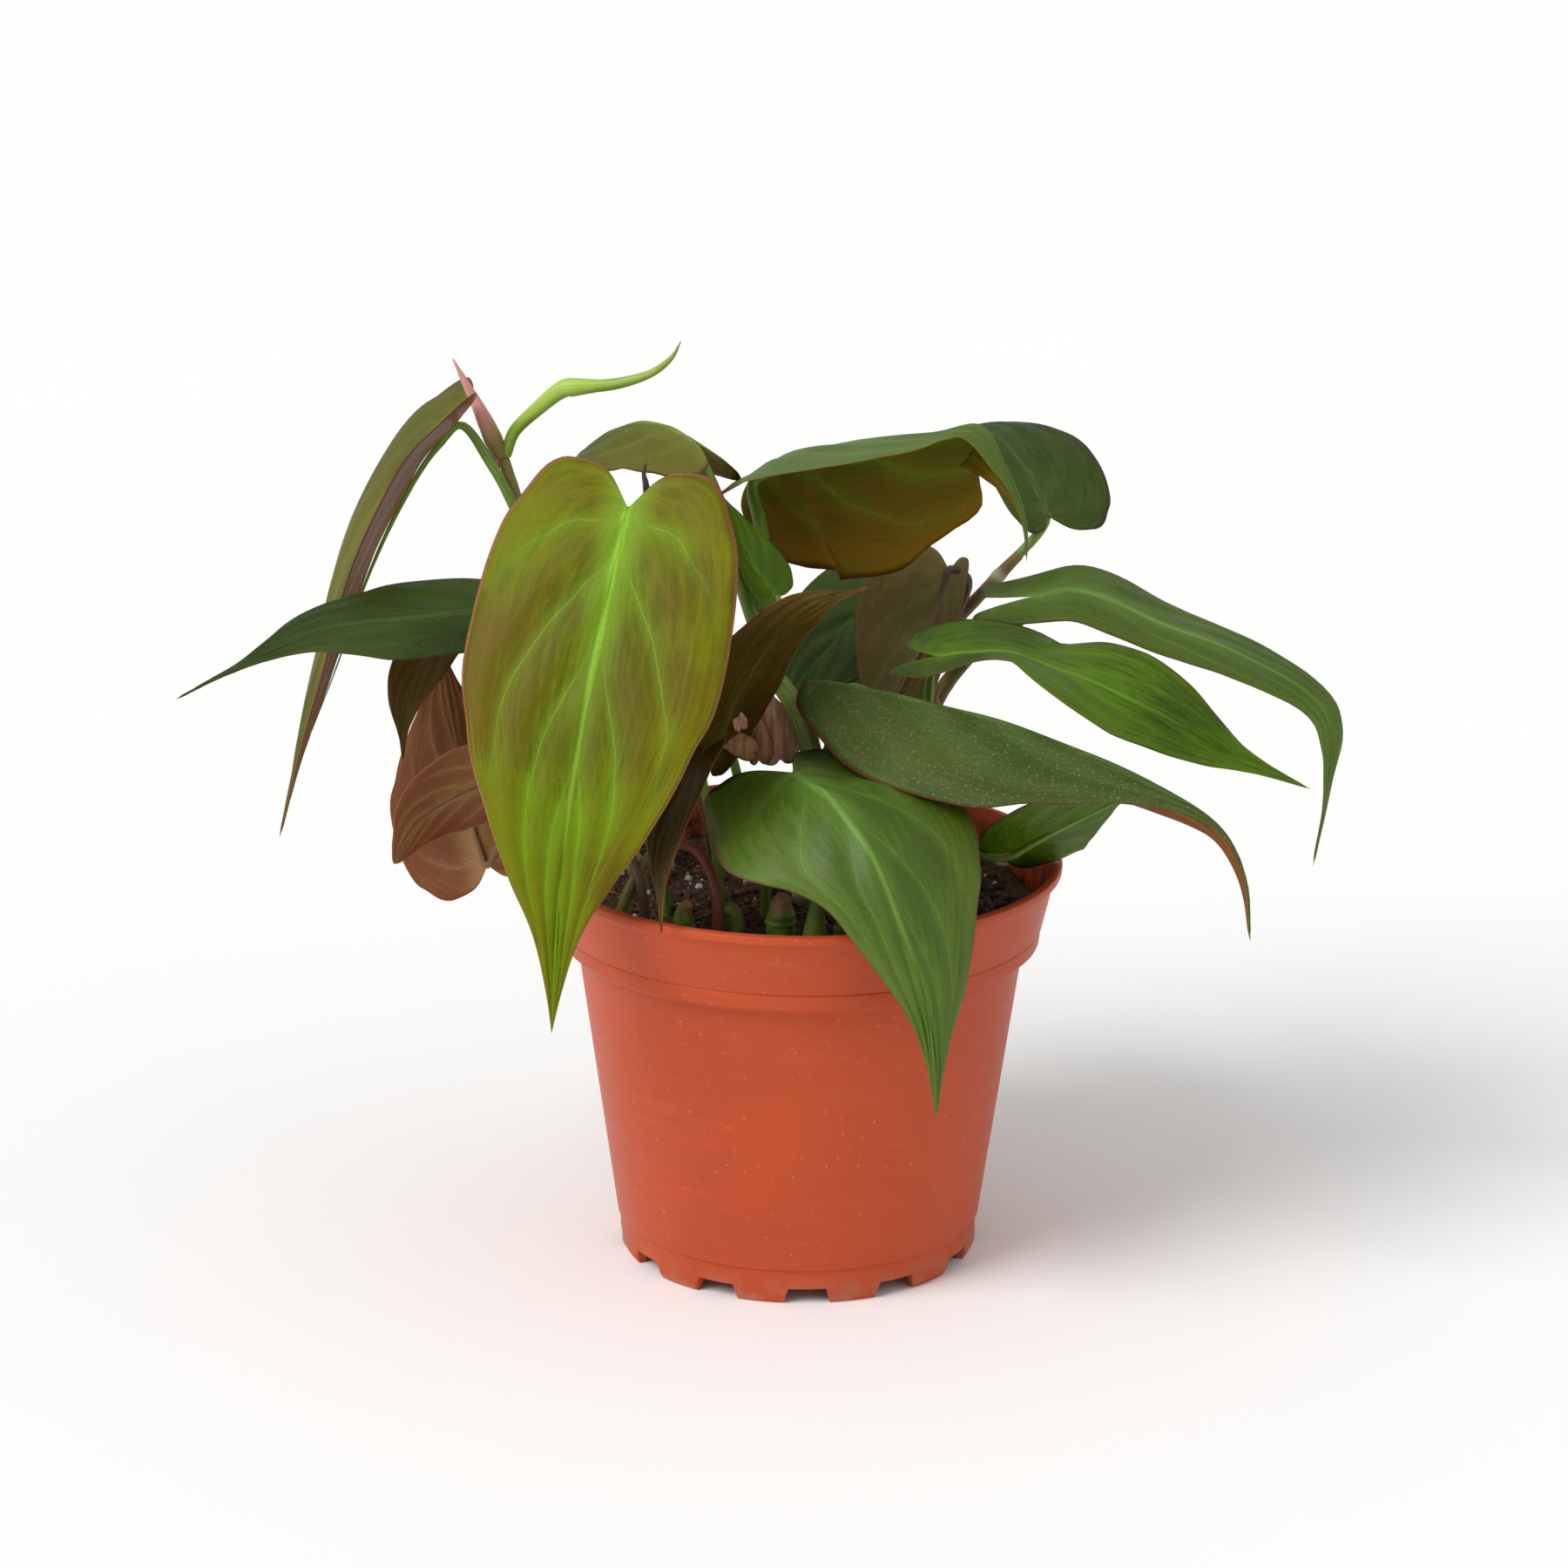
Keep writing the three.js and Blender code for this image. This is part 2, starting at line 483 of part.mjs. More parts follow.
// The middle surface of a blade: t runs from the joint to the tip, s from -1 (left) to 1 (right).
function bladeSurface(leaf) {
  const rib = leaf.hangs ? leaf.midrib.map((p) => clearOfPot(p, leaf.hangs)) : leaf.midrib;
  const curve = curveThrough(rib.map(toPot));
  const length = curve.getLength();
  const { slim = [1, 1], waist = [0, 0] } = leaf;
  return (t, s) => {
    const side = Math.sign(s);
    const reach = Math.abs(s);
    const margin = OUTLINE.getPoint(t);
    const half = side < 0 ? 0 : 1;
    const u = THREE.MathUtils.lerp(t, margin.x, reach);
    const narrowing = 1 - waist[half] * THREE.MathUtils.smoothstep(margin.x, ...WAIST_SPAN);
    const v = Math.max(margin.y, 0) ** slim[half] * narrowing * reach;
    const along = THREE.MathUtils.clamp(u, 0, 1);
    const tangent = curve.getTangentAt(along);
    const up = between(leaf.faces, along);
    up.addScaledVector(tangent, -up.dot(tangent)).normalize();
    const right = tangent.clone().cross(up);
    const angle = leaf.fold[half] * RAD;
    const width = leaf.half[half];
    const point = curve.getPointAt(along);
    point.addScaledVector(tangent, Math.min(u, 0) * length * (leaf.lobes ?? 1));
    point.addScaledVector(right, side * v * width * Math.cos(angle));
    point.addScaledVector(up, v * width * Math.sin(angle) + leaf.rise * v * v);
    return point;
  };
}

function surfaceNormal(surface, t, s, up) {
  const step = 0.01;
  const inT = THREE.MathUtils.clamp(t, step, 1 - step);
  const inS = THREE.MathUtils.clamp(s, -1 + step, 1 - step);
  const forward = surface(inT + step, inS).sub(surface(inT - step, inS));
  const across = surface(inT, inS + step).sub(surface(inT, inS - step));
  const normal = forward.cross(across).normalize();
  return normal.dot(up) < 0 ? normal.negate() : normal;
}

// A closed slab round a blade's middle surface.
function bladeGeometry(leaf) {
  const surface = bladeSurface(leaf);
  const positions = [];
  const layers = [1, -1].map((layer) => {
    const rows = [];
    for (let i = 0; i <= BLADE_ROWS; i++) {
      const t = i / BLADE_ROWS;
      const row = [];
      for (let j = 0; j <= BLADE_COLUMNS; j++) {
        const pointed = i === 0 || i === BLADE_ROWS;
        if (pointed && j > 0) {
          row.push(row[0]);
          continue;
        }
        const s = pointed ? 0 : -1 + (2 * j) / BLADE_COLUMNS;
        const up = between(leaf.faces, t);
        const normal = surfaceNormal(surface, t, s, up);
        const point = surface(t, s).addScaledVector(normal, (layer * BLADE_THICKNESS) / 2);
        row.push(positions.length / 3);
        positions.push(...point.toArray());
      }
      rows.push(row);
    }
    return rows;
  });
  const index = [];
  const triangle = (a, b, c) => {
    if (a !== b && b !== c && a !== c) index.push(a, b, c);
  };
  const quad = (a, b, c, d) => {
    triangle(a, b, c);
    triangle(a, c, d);
  };
  const [top, bottom] = layers;
  for (let i = 0; i < BLADE_ROWS; i++) {
    for (let j = 0; j < BLADE_COLUMNS; j++) {
      quad(top[i][j], top[i][j + 1], top[i + 1][j + 1], top[i + 1][j]);
      quad(bottom[i][j], bottom[i + 1][j], bottom[i + 1][j + 1], bottom[i][j + 1]);
    }
    const edge = BLADE_COLUMNS;
    quad(top[i][0], top[i + 1][0], bottom[i + 1][0], bottom[i][0]);
    quad(top[i][edge], bottom[i][edge], bottom[i + 1][edge], top[i + 1][edge]);
  }
  return facingOut(positions, index);
}

function blade(leaf) {
  return named(`blade_${leaf.name}`, bladeGeometry(leaf), leaf.finish);
}

// A leaf stalk, from the soil or a stem to just short of its blade.
function petioleGeometry(leaf, extra = 0) {
  const surface = bladeSurface(leaf);
  const joint = surface(0, 0);
  const start = leaf.stem
    ? stemCurve(leaf.stem).getPointAt(leaf.at).toArray()
    : toPot([...leaf.root, -ROOT_DEPTH]);
  const via = (leaf.hangs ? leaf.via.map((p) => clearOfPot(p, leaf.hangs / 2)) : leaf.via).map(toPot);
  const before = vector(via.at(-1) ?? start);
  const arrive = joint.clone().sub(before).normalize();
  const end = joint.addScaledVector(arrive, -(BLADE_THICKNESS / 2 + JOINT_GAP + PETIOLE_RADIUS));
  return tube([start, ...via, end.toArray()], PETIOLE_RADIUS + extra);
}

function petiole(leaf) {
  const geometry = petioleGeometry(leaf);
  const finishName = leaf.finish === "bronze_brown_leaf" ? "brown_stem" : "green_stem";
  const shaped = leaf.stem ? cut(geometry, stemGeometry(leaf.stem, GAP)) : geometry;
  return named(`petiole_${leaf.name}`, shaped, finishName);
}

// ---- Small pieces -------------------------------------------------------------------------------------
// The stumps of cut vines that the plant was raised from: place on the soil, height above it, radius.
const STUBS = [
  ["stub_front", [-4, -28], 8, 2.7],
  ["stub_left", [-24, -27], 6, 2.1],
  ["stub_right", [9, -25], 5, 1.9],
];

// A place over the soil, drawn in where it would come too near the pot's wall.
function insidePot([x, y]) {
  const room = BODY_TOP_RADIUS - WALL - WALL_CLEARANCE;
  const shrink = Math.min(1, room / Math.hypot(x, y));
  return [x * shrink, y * shrink];
}

function stubGeometry([, place, height, radius], extra = 0) {
  const [x, y] = insidePot(place);
  const points = [[x, y, -ROOT_DEPTH], [x, y, height - 2], [x + 0.6, y - 0.4, height]];
  return tube(points.map(toPot), radius + extra, 8, 3);
}

// The shoot at the end of the left stem: the pointed sheath of the next leaf, and the newest leaf, rolled.
function shoot() {
  const tip = STEMS.stem_left.points.at(-1);
  const [x, y, z] = toPot(tip);
  const bud = spindle(
    [[x - 1.4, y - 0.6, z + 2.6], [x - 4, y - 1.5, z + 9], [x - 10, y - 3, z + 21]],
    [2.3, 1.7, 0.5],
  );
  const rolled = spindle(
    [[x + 2.4, y - 0.4, z + 3.6], [x + 6, y - 1, z + 9], [x + 14, y - 3, z + 15], [x + 24, y - 6, z + 17],
      [x + 33, y - 8, z + 20], [x + 38, y - 10, z + 26]],
    [1.6, 2.2, 3.0, 1.9, 1.2, 0.4],
  );
  return [named("bud_sheath", bud, "pink_sheath"), named("rolled_leaf", rolled, "bright_green_leaf")];
}

// An air root that curls back over the soil.
const ROOT_RING = { place: [43, 2], height: 8, radius: 3.2, thickness: 0.6, turn: 300 * RAD, climb: 2.4 };

function curledRoot() {
  const { place, height, radius, thickness, turn, climb } = ROOT_RING;
  const [x, y] = insidePot(place);
  const points = [];
  for (let i = 0; i <= 8; i++) {
    const share = i / 8;
    const angle = share * turn;
    points.push([x + radius * Math.cos(angle), y + climb * share, height + radius * Math.sin(angle)]);
  }
  return named("air_root", tube(points.map(toPot), thickness, 6, 14), "green_stem");
}

// ---- The whole plant ----------------------------------------------------------------------------------
const plant = new THREE.Group();
const rooted = LEAVES.filter((leaf) => leaf.root);
plant.add(pot());
plant.add(soil([
  ...Object.keys(STEMS).map((name) => stemGeometry(name, GAP)),
  ...rooted.map((leaf) => petioleGeometry(leaf, GAP)),
  ...STUBS.map((stub) => stubGeometry(stub, GAP)),
]));
for (const name of Object.keys(STEMS)) plant.add(named(name, stemGeometry(name), STEMS[name].finish));
for (const leaf of LEAVES) plant.add(petiole(leaf), blade(leaf));
for (const stub of STUBS) plant.add(named(stub[0], stubGeometry(stub), "green_stem"));
plant.add(...shoot(), curledRoot());

const box = new THREE.Box3().setFromObject(plant);
const middle = box.getCenter(new THREE.Vector3());
plant.position.set(-middle.x, -middle.y, -box.min.z);

const whole = new THREE.Group();
whole.add(plant);
export default whole;
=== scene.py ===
"""A young trailing philodendron in a round plastic nursery pot, finished in the frame of its solid model."""
import math
import random

import bmesh
import bpy
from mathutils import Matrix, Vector, noise


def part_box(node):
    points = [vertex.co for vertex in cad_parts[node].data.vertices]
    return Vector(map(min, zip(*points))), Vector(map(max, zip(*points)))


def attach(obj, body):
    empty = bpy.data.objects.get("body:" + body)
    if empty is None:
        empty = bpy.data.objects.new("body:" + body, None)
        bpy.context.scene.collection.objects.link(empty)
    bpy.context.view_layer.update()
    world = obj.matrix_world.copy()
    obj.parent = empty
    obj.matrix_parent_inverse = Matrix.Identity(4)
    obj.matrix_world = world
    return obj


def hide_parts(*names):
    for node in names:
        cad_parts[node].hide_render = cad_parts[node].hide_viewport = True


bl_info = {
    "name": "Potted philodendron",
    "version": (1, 0, 0),
    "blender": (4, 5, 0),
    "location": "3D View > Sidebar > Plant",
    "description": "Builds a trailing philodendron in its nursery pot",
    "category": "Add Mesh",
}

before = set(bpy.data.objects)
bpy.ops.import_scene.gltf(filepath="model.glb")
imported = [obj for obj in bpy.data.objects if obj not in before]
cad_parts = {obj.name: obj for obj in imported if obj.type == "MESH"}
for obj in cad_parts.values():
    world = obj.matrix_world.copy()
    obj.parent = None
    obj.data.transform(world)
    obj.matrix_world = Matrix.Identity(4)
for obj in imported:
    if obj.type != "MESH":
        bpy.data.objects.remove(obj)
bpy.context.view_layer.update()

MM = 0.001
POT_LOW, POT_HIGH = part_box("pot")
SOIL_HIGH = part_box("soil")[1]
POT_HEIGHT = POT_HIGH.z / MM
RIM_RADIUS = (POT_HIGH.x - POT_LOW.x) / 2 / MM
AXIS = (POT_LOW + POT_HIGH) / 2
# The plant is placed in its own frame: millimetres from the pot's axis at the soil's top, -Y to the front.
CROWN = Vector((AXIS.x, AXIS.y, SOIL_HIGH.z))
FLOOR_DEPTH = SOIL_HIGH.z / MM
ROOT_DEPTH = 12


def at(point):
    """A place in the plant's frame, in metres in the part's frame."""
    return CROWN + Vector(point) * MM


def paint(code):
    """A hex colour in Blender's linear values."""
    shares = [int(code[i:i + 2], 16) / 255 for i in (1, 3, 5)]
    return tuple(c / 12.92 if c <= 0.04045 else ((c + 0.055) / 1.055) ** 2.4 for c in shares)


def opaque(colour):
    return (*colour[:3], 1)


def tint(code, shade=1):
    """A hex colour for a socket, darkened by shade."""
    return opaque([c * shade for c in paint(code)])


# ---- Node trees, written down as sums -----------------------------------------------------------------
class Field:
    """A value that flows through a node tree and can be added, scaled and raised."""

    def __init__(self, tree, socket):
        self.tree, self.socket = tree, socket

    def __add__(self, other):
        return self.tree.calc("ADD", self, other)

    def __sub__(self, other):
        return self.tree.calc("SUBTRACT", self, other)

    def __mul__(self, other):
        return self.tree.calc("MULTIPLY", self, other)

    def __truediv__(self, other):
        return self.tree.calc("DIVIDE", self, other)

    def __pow__(self, other):
        return self.tree.calc("POWER", self, other)

    def __rsub__(self, other):
        return self.tree.calc("SUBTRACT", other, self)

    __radd__, __rmul__ = __add__, __mul__


class Tree:
    """A node tree under construction, of a material or of geometry."""

    def __init__(self, tree):
        self.tree, self.given, self.keys = tree, {}, {}

    @classmethod
    def of_material(cls, name):
        material = bpy.data.materials.new(name)
        material.use_nodes = True
        material.node_tree.nodes.clear()
        return cls(material.node_tree), material

    @classmethod
    def of_geometry(cls, name, inputs):
        """inputs lists the name, the kind and the default of each input after the geometry itself."""
        group = bpy.data.node_groups.new(name, "GeometryNodeTree")
        group.interface.new_socket("Geometry", in_out="OUTPUT", socket_type="NodeSocketGeometry")
        made = cls(group)
        for label, kind, default in [("Geometry", "Geometry", None), *inputs]:
            item = group.interface.new_socket(label, in_out="INPUT", socket_type="NodeSocket" + kind)
            if default is not None:
                item.default_value = default
            made.keys[label] = item.identifier
        entry = group.nodes.new("NodeGroupInput")
        made.given = {label: Field(made, entry.outputs[label]) for label in made.keys}
        return made

    def node(self, kind, feeds=(), **settings):
        made = self.tree.nodes.new(kind)
        for key, value in settings.items():
            setattr(made, key, value)
        for key, value in feeds.items() if isinstance(feeds, dict) else enumerate(feeds):
            if isinstance(value, Field):
                self.tree.links.new(value.socket, made.inputs[key])
            elif value is not None:
                made.inputs[key].default_value = value
        return made

    def take(self, kind, feeds=(), out=0, **settings):
        return Field(self, self.node(kind, feeds, **settings).outputs[out])

    def calc(self, operation, *terms):
        """One sum, of vectors where any of its terms is one."""
        whole = [isinstance(x, (tuple, Vector)) or (isinstance(x, Field) and x.socket.type == "VECTOR")
                 for x in terms]
        if not any(whole):
            return self.take("ShaderNodeMath", terms, operation=operation)
        if operation == "MULTIPLY" and not all(whole):
            vector, number = terms if whole[0] else terms[::-1]
            return self.take("ShaderNodeVectorMath", {0: vector, 3: number}, operation="SCALE")
        return self.take("ShaderNodeVectorMath", terms, operation=operation)

    def vector(self, operation, *terms, out=0):
        return self.take("ShaderNodeVectorMath", terms, out, operation=operation)

    def ramp(self, value, low, high, start=0.0, end=1.0):
        """A soft step from start to end, as value goes from low to high."""
        return self.take("ShaderNodeMapRange", [value, low, high, start, end],
                         interpolation_type="SMOOTHSTEP")

    def mix(self, share, a, b):
        return self.take("ShaderNodeMix", {0: share, 6: a, 7: b}, 2, data_type="RGBA")

    def choose(self, share, a, b):
        return self.take("ShaderNodeMix", {0: share, 2: a, 3: b}, data_type="FLOAT")

    def cloud(self, place, scale, detail=2.0, roughness=0.5, distortion=0.0):
        return self.take("ShaderNodeTexNoise", {"Vector": place, "Scale": scale, "Detail": detail,
                                                "Roughness": roughness, "Distortion": distortion})

    def join(self, x, y, z):
        return self.take("ShaderNodeCombineXYZ", [x, y, z])

    def split(self, vector):
        made = self.node("ShaderNodeSeparateXYZ", [vector])
        return [Field(self, socket) for socket in made.outputs]

    def profile(self, value, points):
        """A smooth curve through points, from 0 to 1."""
        made = self.node("ShaderNodeFloatCurve", {1: value})
        curve = made.mapping.curves[0]
        for place in points[1:-1]:
            curve.points.new(*place)
        curve.points[0].location, curve.points[-1].location = points[0], points[-1]
        for point in curve.points:
            point.handle_type = "AUTO_CLAMPED"
        made.mapping.update()
        return Field(self, made.outputs[0])

    def stored(self, name, kind="FLOAT_VECTOR"):
        return self.take("GeometryNodeInputNamedAttribute", {"Name": name}, data_type=kind)

    def store(self, geometry, name, value, kind, domain):
        return self.take("GeometryNodeStoreNamedAttribute",
                         {"Geometry": geometry, "Name": name, "Value": value}, data_type=kind, domain=domain)

    def moved(self, geometry, **how):
        return self.take("GeometryNodeSetPosition", {"Geometry": geometry, **how})

    def painted(self, geometry, material, selection=True):
        return self.take("GeometryNodeSetMaterial",
                         {"Geometry": geometry, "Selection": selection, "Material": material})

    def realized(self, geometry):
        smooth = self.take("GeometryNodeSetShadeSmooth", {"Geometry": geometry})
        return self.take("GeometryNodeRealizeInstances", {"Geometry": smooth})

    def end(self, geometry):
        exit_node = self.tree.nodes.new("NodeGroupOutput")
        self.tree.links.new(geometry.socket, exit_node.inputs[0])
        return self


# ---- Smooth paths -------------------------------------------------------------------------------------
def hermite(p0, p1, p2, p3, share):
    """A point between p1 and p2 on a centripetal curve through all four."""
    before, here, after = (max((b - a).length, 1e-9) ** 0.5 for a, b in ((p0, p1), (p1, p2), (p2, p3)))
    leave = ((p1 - p0) / before - (p2 - p0) / (before + here) + (p2 - p1) / here) * here
    arrive = ((p2 - p1) / here - (p3 - p1) / (here + after) + (p3 - p2) / after) * here
    s2, s3 = share * share, share ** 3
    return (p1 * (2 * s3 - 3 * s2 + 1) + p2 * (3 * s2 - 2 * s3)
            + leave * (s3 - 2 * s2 + share) + arrive * (s3 - s2))


def smooth_path(points, count, per_stretch=24):
    """count points, evenly spaced on a smooth curve through the points given."""
    known = [Vector(p) for p in points]
    known = [known[0] * 2 - known[1], *known, known[-1] * 2 - known[-2]]
    fine = [known[1]]
    for i in range(1, len(known) - 2):
        fine += [hermite(*known[i - 1:i + 3], k / per_stretch) for k in range(1, per_stretch + 1)]
    reach = [0.0]
    for a, b in zip(fine, fine[1:]):
        reach.append(reach[-1] + (b - a).length)
    even, k = [], 0
    for i in range(count):
        want = reach[-1] * i / (count - 1)
        while k < len(fine) - 2 and reach[k + 1] < want:
            k += 1
        even.append(fine[k].lerp(fine[k + 1], min(1, (want - reach[k]) / max(reach[k + 1] - reach[k], 1e-9))))
    return even


def along(path, share):
    place = min(max(share, 0), 1) * (len(path) - 1)
    low = min(int(place), len(path) - 2)
    return path[low].lerp(path[low + 1], place - low)


def path_length(path):
    return sum((b - a).length for a, b in zip(path, path[1:]))


def headings(path):
    ends = zip([path[0], *path[:-1]], [*path[1:], path[-1]])
    return [(b - a).normalized() for a, b in ends]


def level(values, share):
    """The value at a share of an evenly spaced list of numbers."""
    place = min(max(share, 0), 1) * (len(values) - 1)
    low = min(int(place), len(values) - 2)
    return values[low] + (values[low + 1] - values[low]) * (place - low)


# ---- From trees to plain pieces -----------------------------------------------------------------------
def path_mesh(name, points, **attributes):
    mesh = bpy.data.meshes.new(name)
    mesh.from_pydata([tuple(p) for p in points], [(i, i + 1) for i in range(len(points) - 1)], [])
    for key, values in attributes.items():
        if isinstance(values[0], Vector):
            layer = mesh.attributes.new(key, "FLOAT_VECTOR", "POINT")
            layer.data.foreach_set("vector", [c for v in values for c in v])
        else:
            layer = mesh.attributes.new(key, "FLOAT", "POINT")
            layer.data.foreach_set("value", values)
    return mesh


def shown(name, mesh):
    piece = bpy.data.objects.new(name, mesh)
    bpy.context.scene.collection.objects.link(piece)
    return piece


def settled(piece):
    """Keeps a piece's shape with its modifiers and drops the modifiers."""
    depsgraph = bpy.context.evaluated_depsgraph_get()
    rough = piece.data
    piece.data = bpy.data.meshes.new_from_object(
        piece.evaluated_get(depsgraph), preserve_all_data_layers=True, depsgraph=depsgraph)
    piece.modifiers.clear()
    piece.data.name = piece.name
    if isinstance(rough, bpy.types.Mesh):
        bpy.data.meshes.remove(rough)
    return piece


def grown(name, mesh, tree, **values):
    """A piece that a geometry tree makes from a mesh. values are its inputs, with _ for each space."""
    piece = shown(name, mesh)
    modifier = piece.modifiers.new(tree.tree.name, "NODES")
    modifier.node_group = tree.tree
    for label, value in values.items():
        modifier[tree.keys[label.replace("_", " ")]] = value
    return without_empty_slot(settled(piece))


def without_empty_slot(piece):
    """Drops the empty first material slot that a grid or an instance brings along."""
    mesh = piece.data
    if mesh.materials[0] is None:
        slots = [face.material_index - 1 for face in mesh.polygons]
        mesh.materials.pop(index=0)
        mesh.polygons.foreach_set("material_index", slots)
    return piece


def placed(piece, slot, *nodes):
    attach(piece, "root")
    if nodes:
        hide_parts(*nodes)
    return piece


# ---- Finishes -----------------------------------------------------------------------------------------
def surface(tree, colour, roughness, height, strength, distance, **constants):
    """The last part of every finish: a bumpy surface of one colour and gloss pattern."""
    bump = tree.take("ShaderNodeBump", {"Strength": strength, "Distance": distance, "Height": height})
    feeds = {"Base Color": colour, "Roughness": roughness, "Normal": bump,
             **{key.replace("_", " "): value for key, value in constants.items()}}
    shader = tree.take("ShaderNodeBsdfPrincipled", feeds)
    tree.node("ShaderNodeOutputMaterial", [shader])


def object_place(tree):
    return tree.take("ShaderNodeTexCoord", out=3)


def attribute(tree, name, out=1):
    return tree.take("ShaderNodeAttribute", out=out, attribute_name=name)


# The side veins: their spacing and sweep in shares of a blade's length.
VEIN_SPACING = 0.25
VEIN_SWEEP = 0.75
VEIN_BEND = 0.75  # a power: the smaller it is, the sooner a vein turns towards the tip
FIRST_VEIN = 0.2
VEIN_PAIRS = 3


def vein_phase(tree, reach, run):
    """A count that passes a whole number at each side vein. reach is 0 at the midrib and 1 at the margin. A
    vein leaves the midrib at a sharp angle and bends on towards the tip."""
    return (run - tree.calc("POWER", reach, VEIN_BEND) * VEIN_SWEEP - FIRST_VEIN) / VEIN_SPACING


# A skin's three body colours, its rib and margin colours, how much blush and how much of its veins shows, its
# roughness, how strongly it is strewn with painted glints (light specks for the velvet's sparkle) and its
# shine.
SKIN_TRAITS = ("deep", "fresh", "blush", "rib", "margin", "flush", "veins", "gloss", "freckles_and_glints", "shine")
SKINS = {name: dict(zip(SKIN_TRAITS, traits)) for name, traits in {
    "bronze_green_skin": ("#565c00", "#688800", "#7c4e00", "#92c63a", "#c07a5c", 0.42, 0.34, 0.5, 0.05, 0.12),
    "mid_green_skin": ("#3f5c12", "#54721e", "#5c5614", "#7ea648", "#8c4a32", 0.2, 0.26, 0.46, 0.07, 0.25),
    "olive_skin": ("#46540e", "#62641e", "#705a20", "#8a9a48", "#8a4a34", 0.35, 0.22, 0.48, 0.05, 0.2),
    "dark_green_skin": ("#38501a", "#4c6024", "#54461a", "#62783a", "#8a4434", 0.25, 0.12, 0.52, 0.22, 0.2),
    # Bright green, partly the leaves' own colour and partly painted light shining through them.
    "light_green_skin": ("#2e4a00", "#507404", "#5a6608", "#7ca428", "#8c4c38", 0.2, 0.2, 0.45, 0.04, 0.2),
    "deep_green_skin": ("#263a0a", "#384e12", "#3c3a0c", "#4e6426", "#6d3828", 0.2, 0.15, 0.5, 0.05, 0.2),
    "brown_skin": ("#342a00", "#544608", "#5e3408", "#6a5c20", "#a0583e", 0.35, 0.2, 0.52, 0.05, 0.15),
    "bronze_underside": ("#525800", "#646e04", "#7c4602", "#8a9c30", "#8c3e28", 0.65, 0.25, 0.52, 0.05, 0.12),
    "mauve_underside": ("#704220", "#8c6836", "#7a381e", "#b8905e", "#a05c46", 0.4, 0.45, 0.48, 0.05, 0.2),
    "grey_underside": ("#5c5420", "#766c3a", "#664228", "#847c4c", "#8a5040", 0.35, 0.3, 0.5, 0.08, 0.2),
    "green_underside": ("#3e5408", "#587016", "#64541c", "#7c9440", "#8a4c3a", 0.3, 0.3, 0.5, 0.04, 0.15),
}.items()}


def leaf_skin(name):
    """A leaf's skin: patches of colour, light veins, a flush towards the edge, a fine-grained face and
    painted glints.
    """
    if name in bpy.data.materials:
        return bpy.data.materials[name]
    look = SKINS[name]
    tree, material = Tree.of_material(name)
    place = object_place(tree)
    reach, run, from_rib = tree.split(attribute(tree, "leaf_place"))
    reach = tree.calc("ABSOLUTE", reach)
    broad = tree.cloud(place, 34, 3, 0.55)
    streaks = tree.cloud(tree.join(reach * 9, run * 3, broad), 3, 3, 0.6)
    fine = tree.cloud(place, 1400, 2, 0.6)
    colour = tree.mix(tree.ramp(broad * 0.6 + streaks * 0.4, 0.4, 0.6),
                      tint(look["deep"]), tint(look["fresh"]))
    phase = vein_phase(tree, reach, run) + (broad - 0.5) * 0.3
    away = tree.calc("PINGPONG", phase + 16, 0.5)
    fade = tree.ramp(reach, 0.5, 0.95, 1, 0) * tree.ramp(phase, VEIN_PAIRS - 1.5, VEIN_PAIRS - 0.5, 1, 0)
    between = tree.ramp(away, 0.06, 0.5)
    flush = tree.ramp(streaks + reach * 0.3 + between * 0.12, 0.5, 0.86) * look["flush"]
    colour = tree.mix(flush, colour, tint(look["blush"]))
    colour = tree.mix(between * fade * 0.2, colour, tint(look["deep"], 0.62))
    glow = tree.ramp(away, 0.0, 0.2, 1, 0) * fade * look["veins"] * 0.4
    line = tree.ramp(away, 0.006, 0.032, 1, 0) * fade * look["veins"]
    net = tree.ramp(tree.calc("PINGPONG", phase * 4 + 80, 0.5), 0.02, 0.2, 1, 0) * fade * look["veins"] * 0.1
    rib_width = tree.ramp(run, 0.0, 0.9, 1.4, 0.25)
    core = tree.ramp(from_rib / rib_width, 0.2, 1.0, 1, 0)
    halo = tree.ramp(from_rib / rib_width, 0.5, 6, 1, 0) * tree.ramp(run, 0.0, 0.7, 1.2, 0.15) * look["veins"]
    veins = tree.calc("MAXIMUM", tree.calc("MAXIMUM", glow, line), tree.calc("MAXIMUM", net, halo))
    rib_colour = tint(look["rib"])
    colour = tree.mix(veins, colour, rib_colour)
    colour = tree.mix(core * tree.ramp(run, 0.1, 0.9, 0.35 + look["veins"], 0.1), colour, rib_colour)
    edge = tree.ramp(reach, 0.968, 0.994)
    colour = tree.mix(edge * 0.8, colour, tint(look["margin"]))
    # Painted glints: light specks that stand in for the sparkle of the velvety skin in the light.
    freckles_and_glints = tree.ramp(tree.cloud(place, 1900, 1), 0.6, 0.72)
    colour = tree.mix(freckles_and_glints * look["freckles_and_glints"], colour, tint("#a8b884"))
    colour = tree.mix(tree.ramp(fine, 0.35, 0.7, 0.12, 0), colour, tint(look["deep"], 0.5))
    roughness = tree.ramp(fine * 0.6 + broad * 0.4, 0.3, 0.7, look["gloss"] - 0.06, look["gloss"] + 0.1)
    height = fine * 0.3 + between * 0.6 + tree.cloud(place, 320, 3) * 0.4 - line * 0.6
    surface(tree, colour, roughness, height, 0.4, 0.0004, Specular_IOR_Level=look["shine"])
    return material


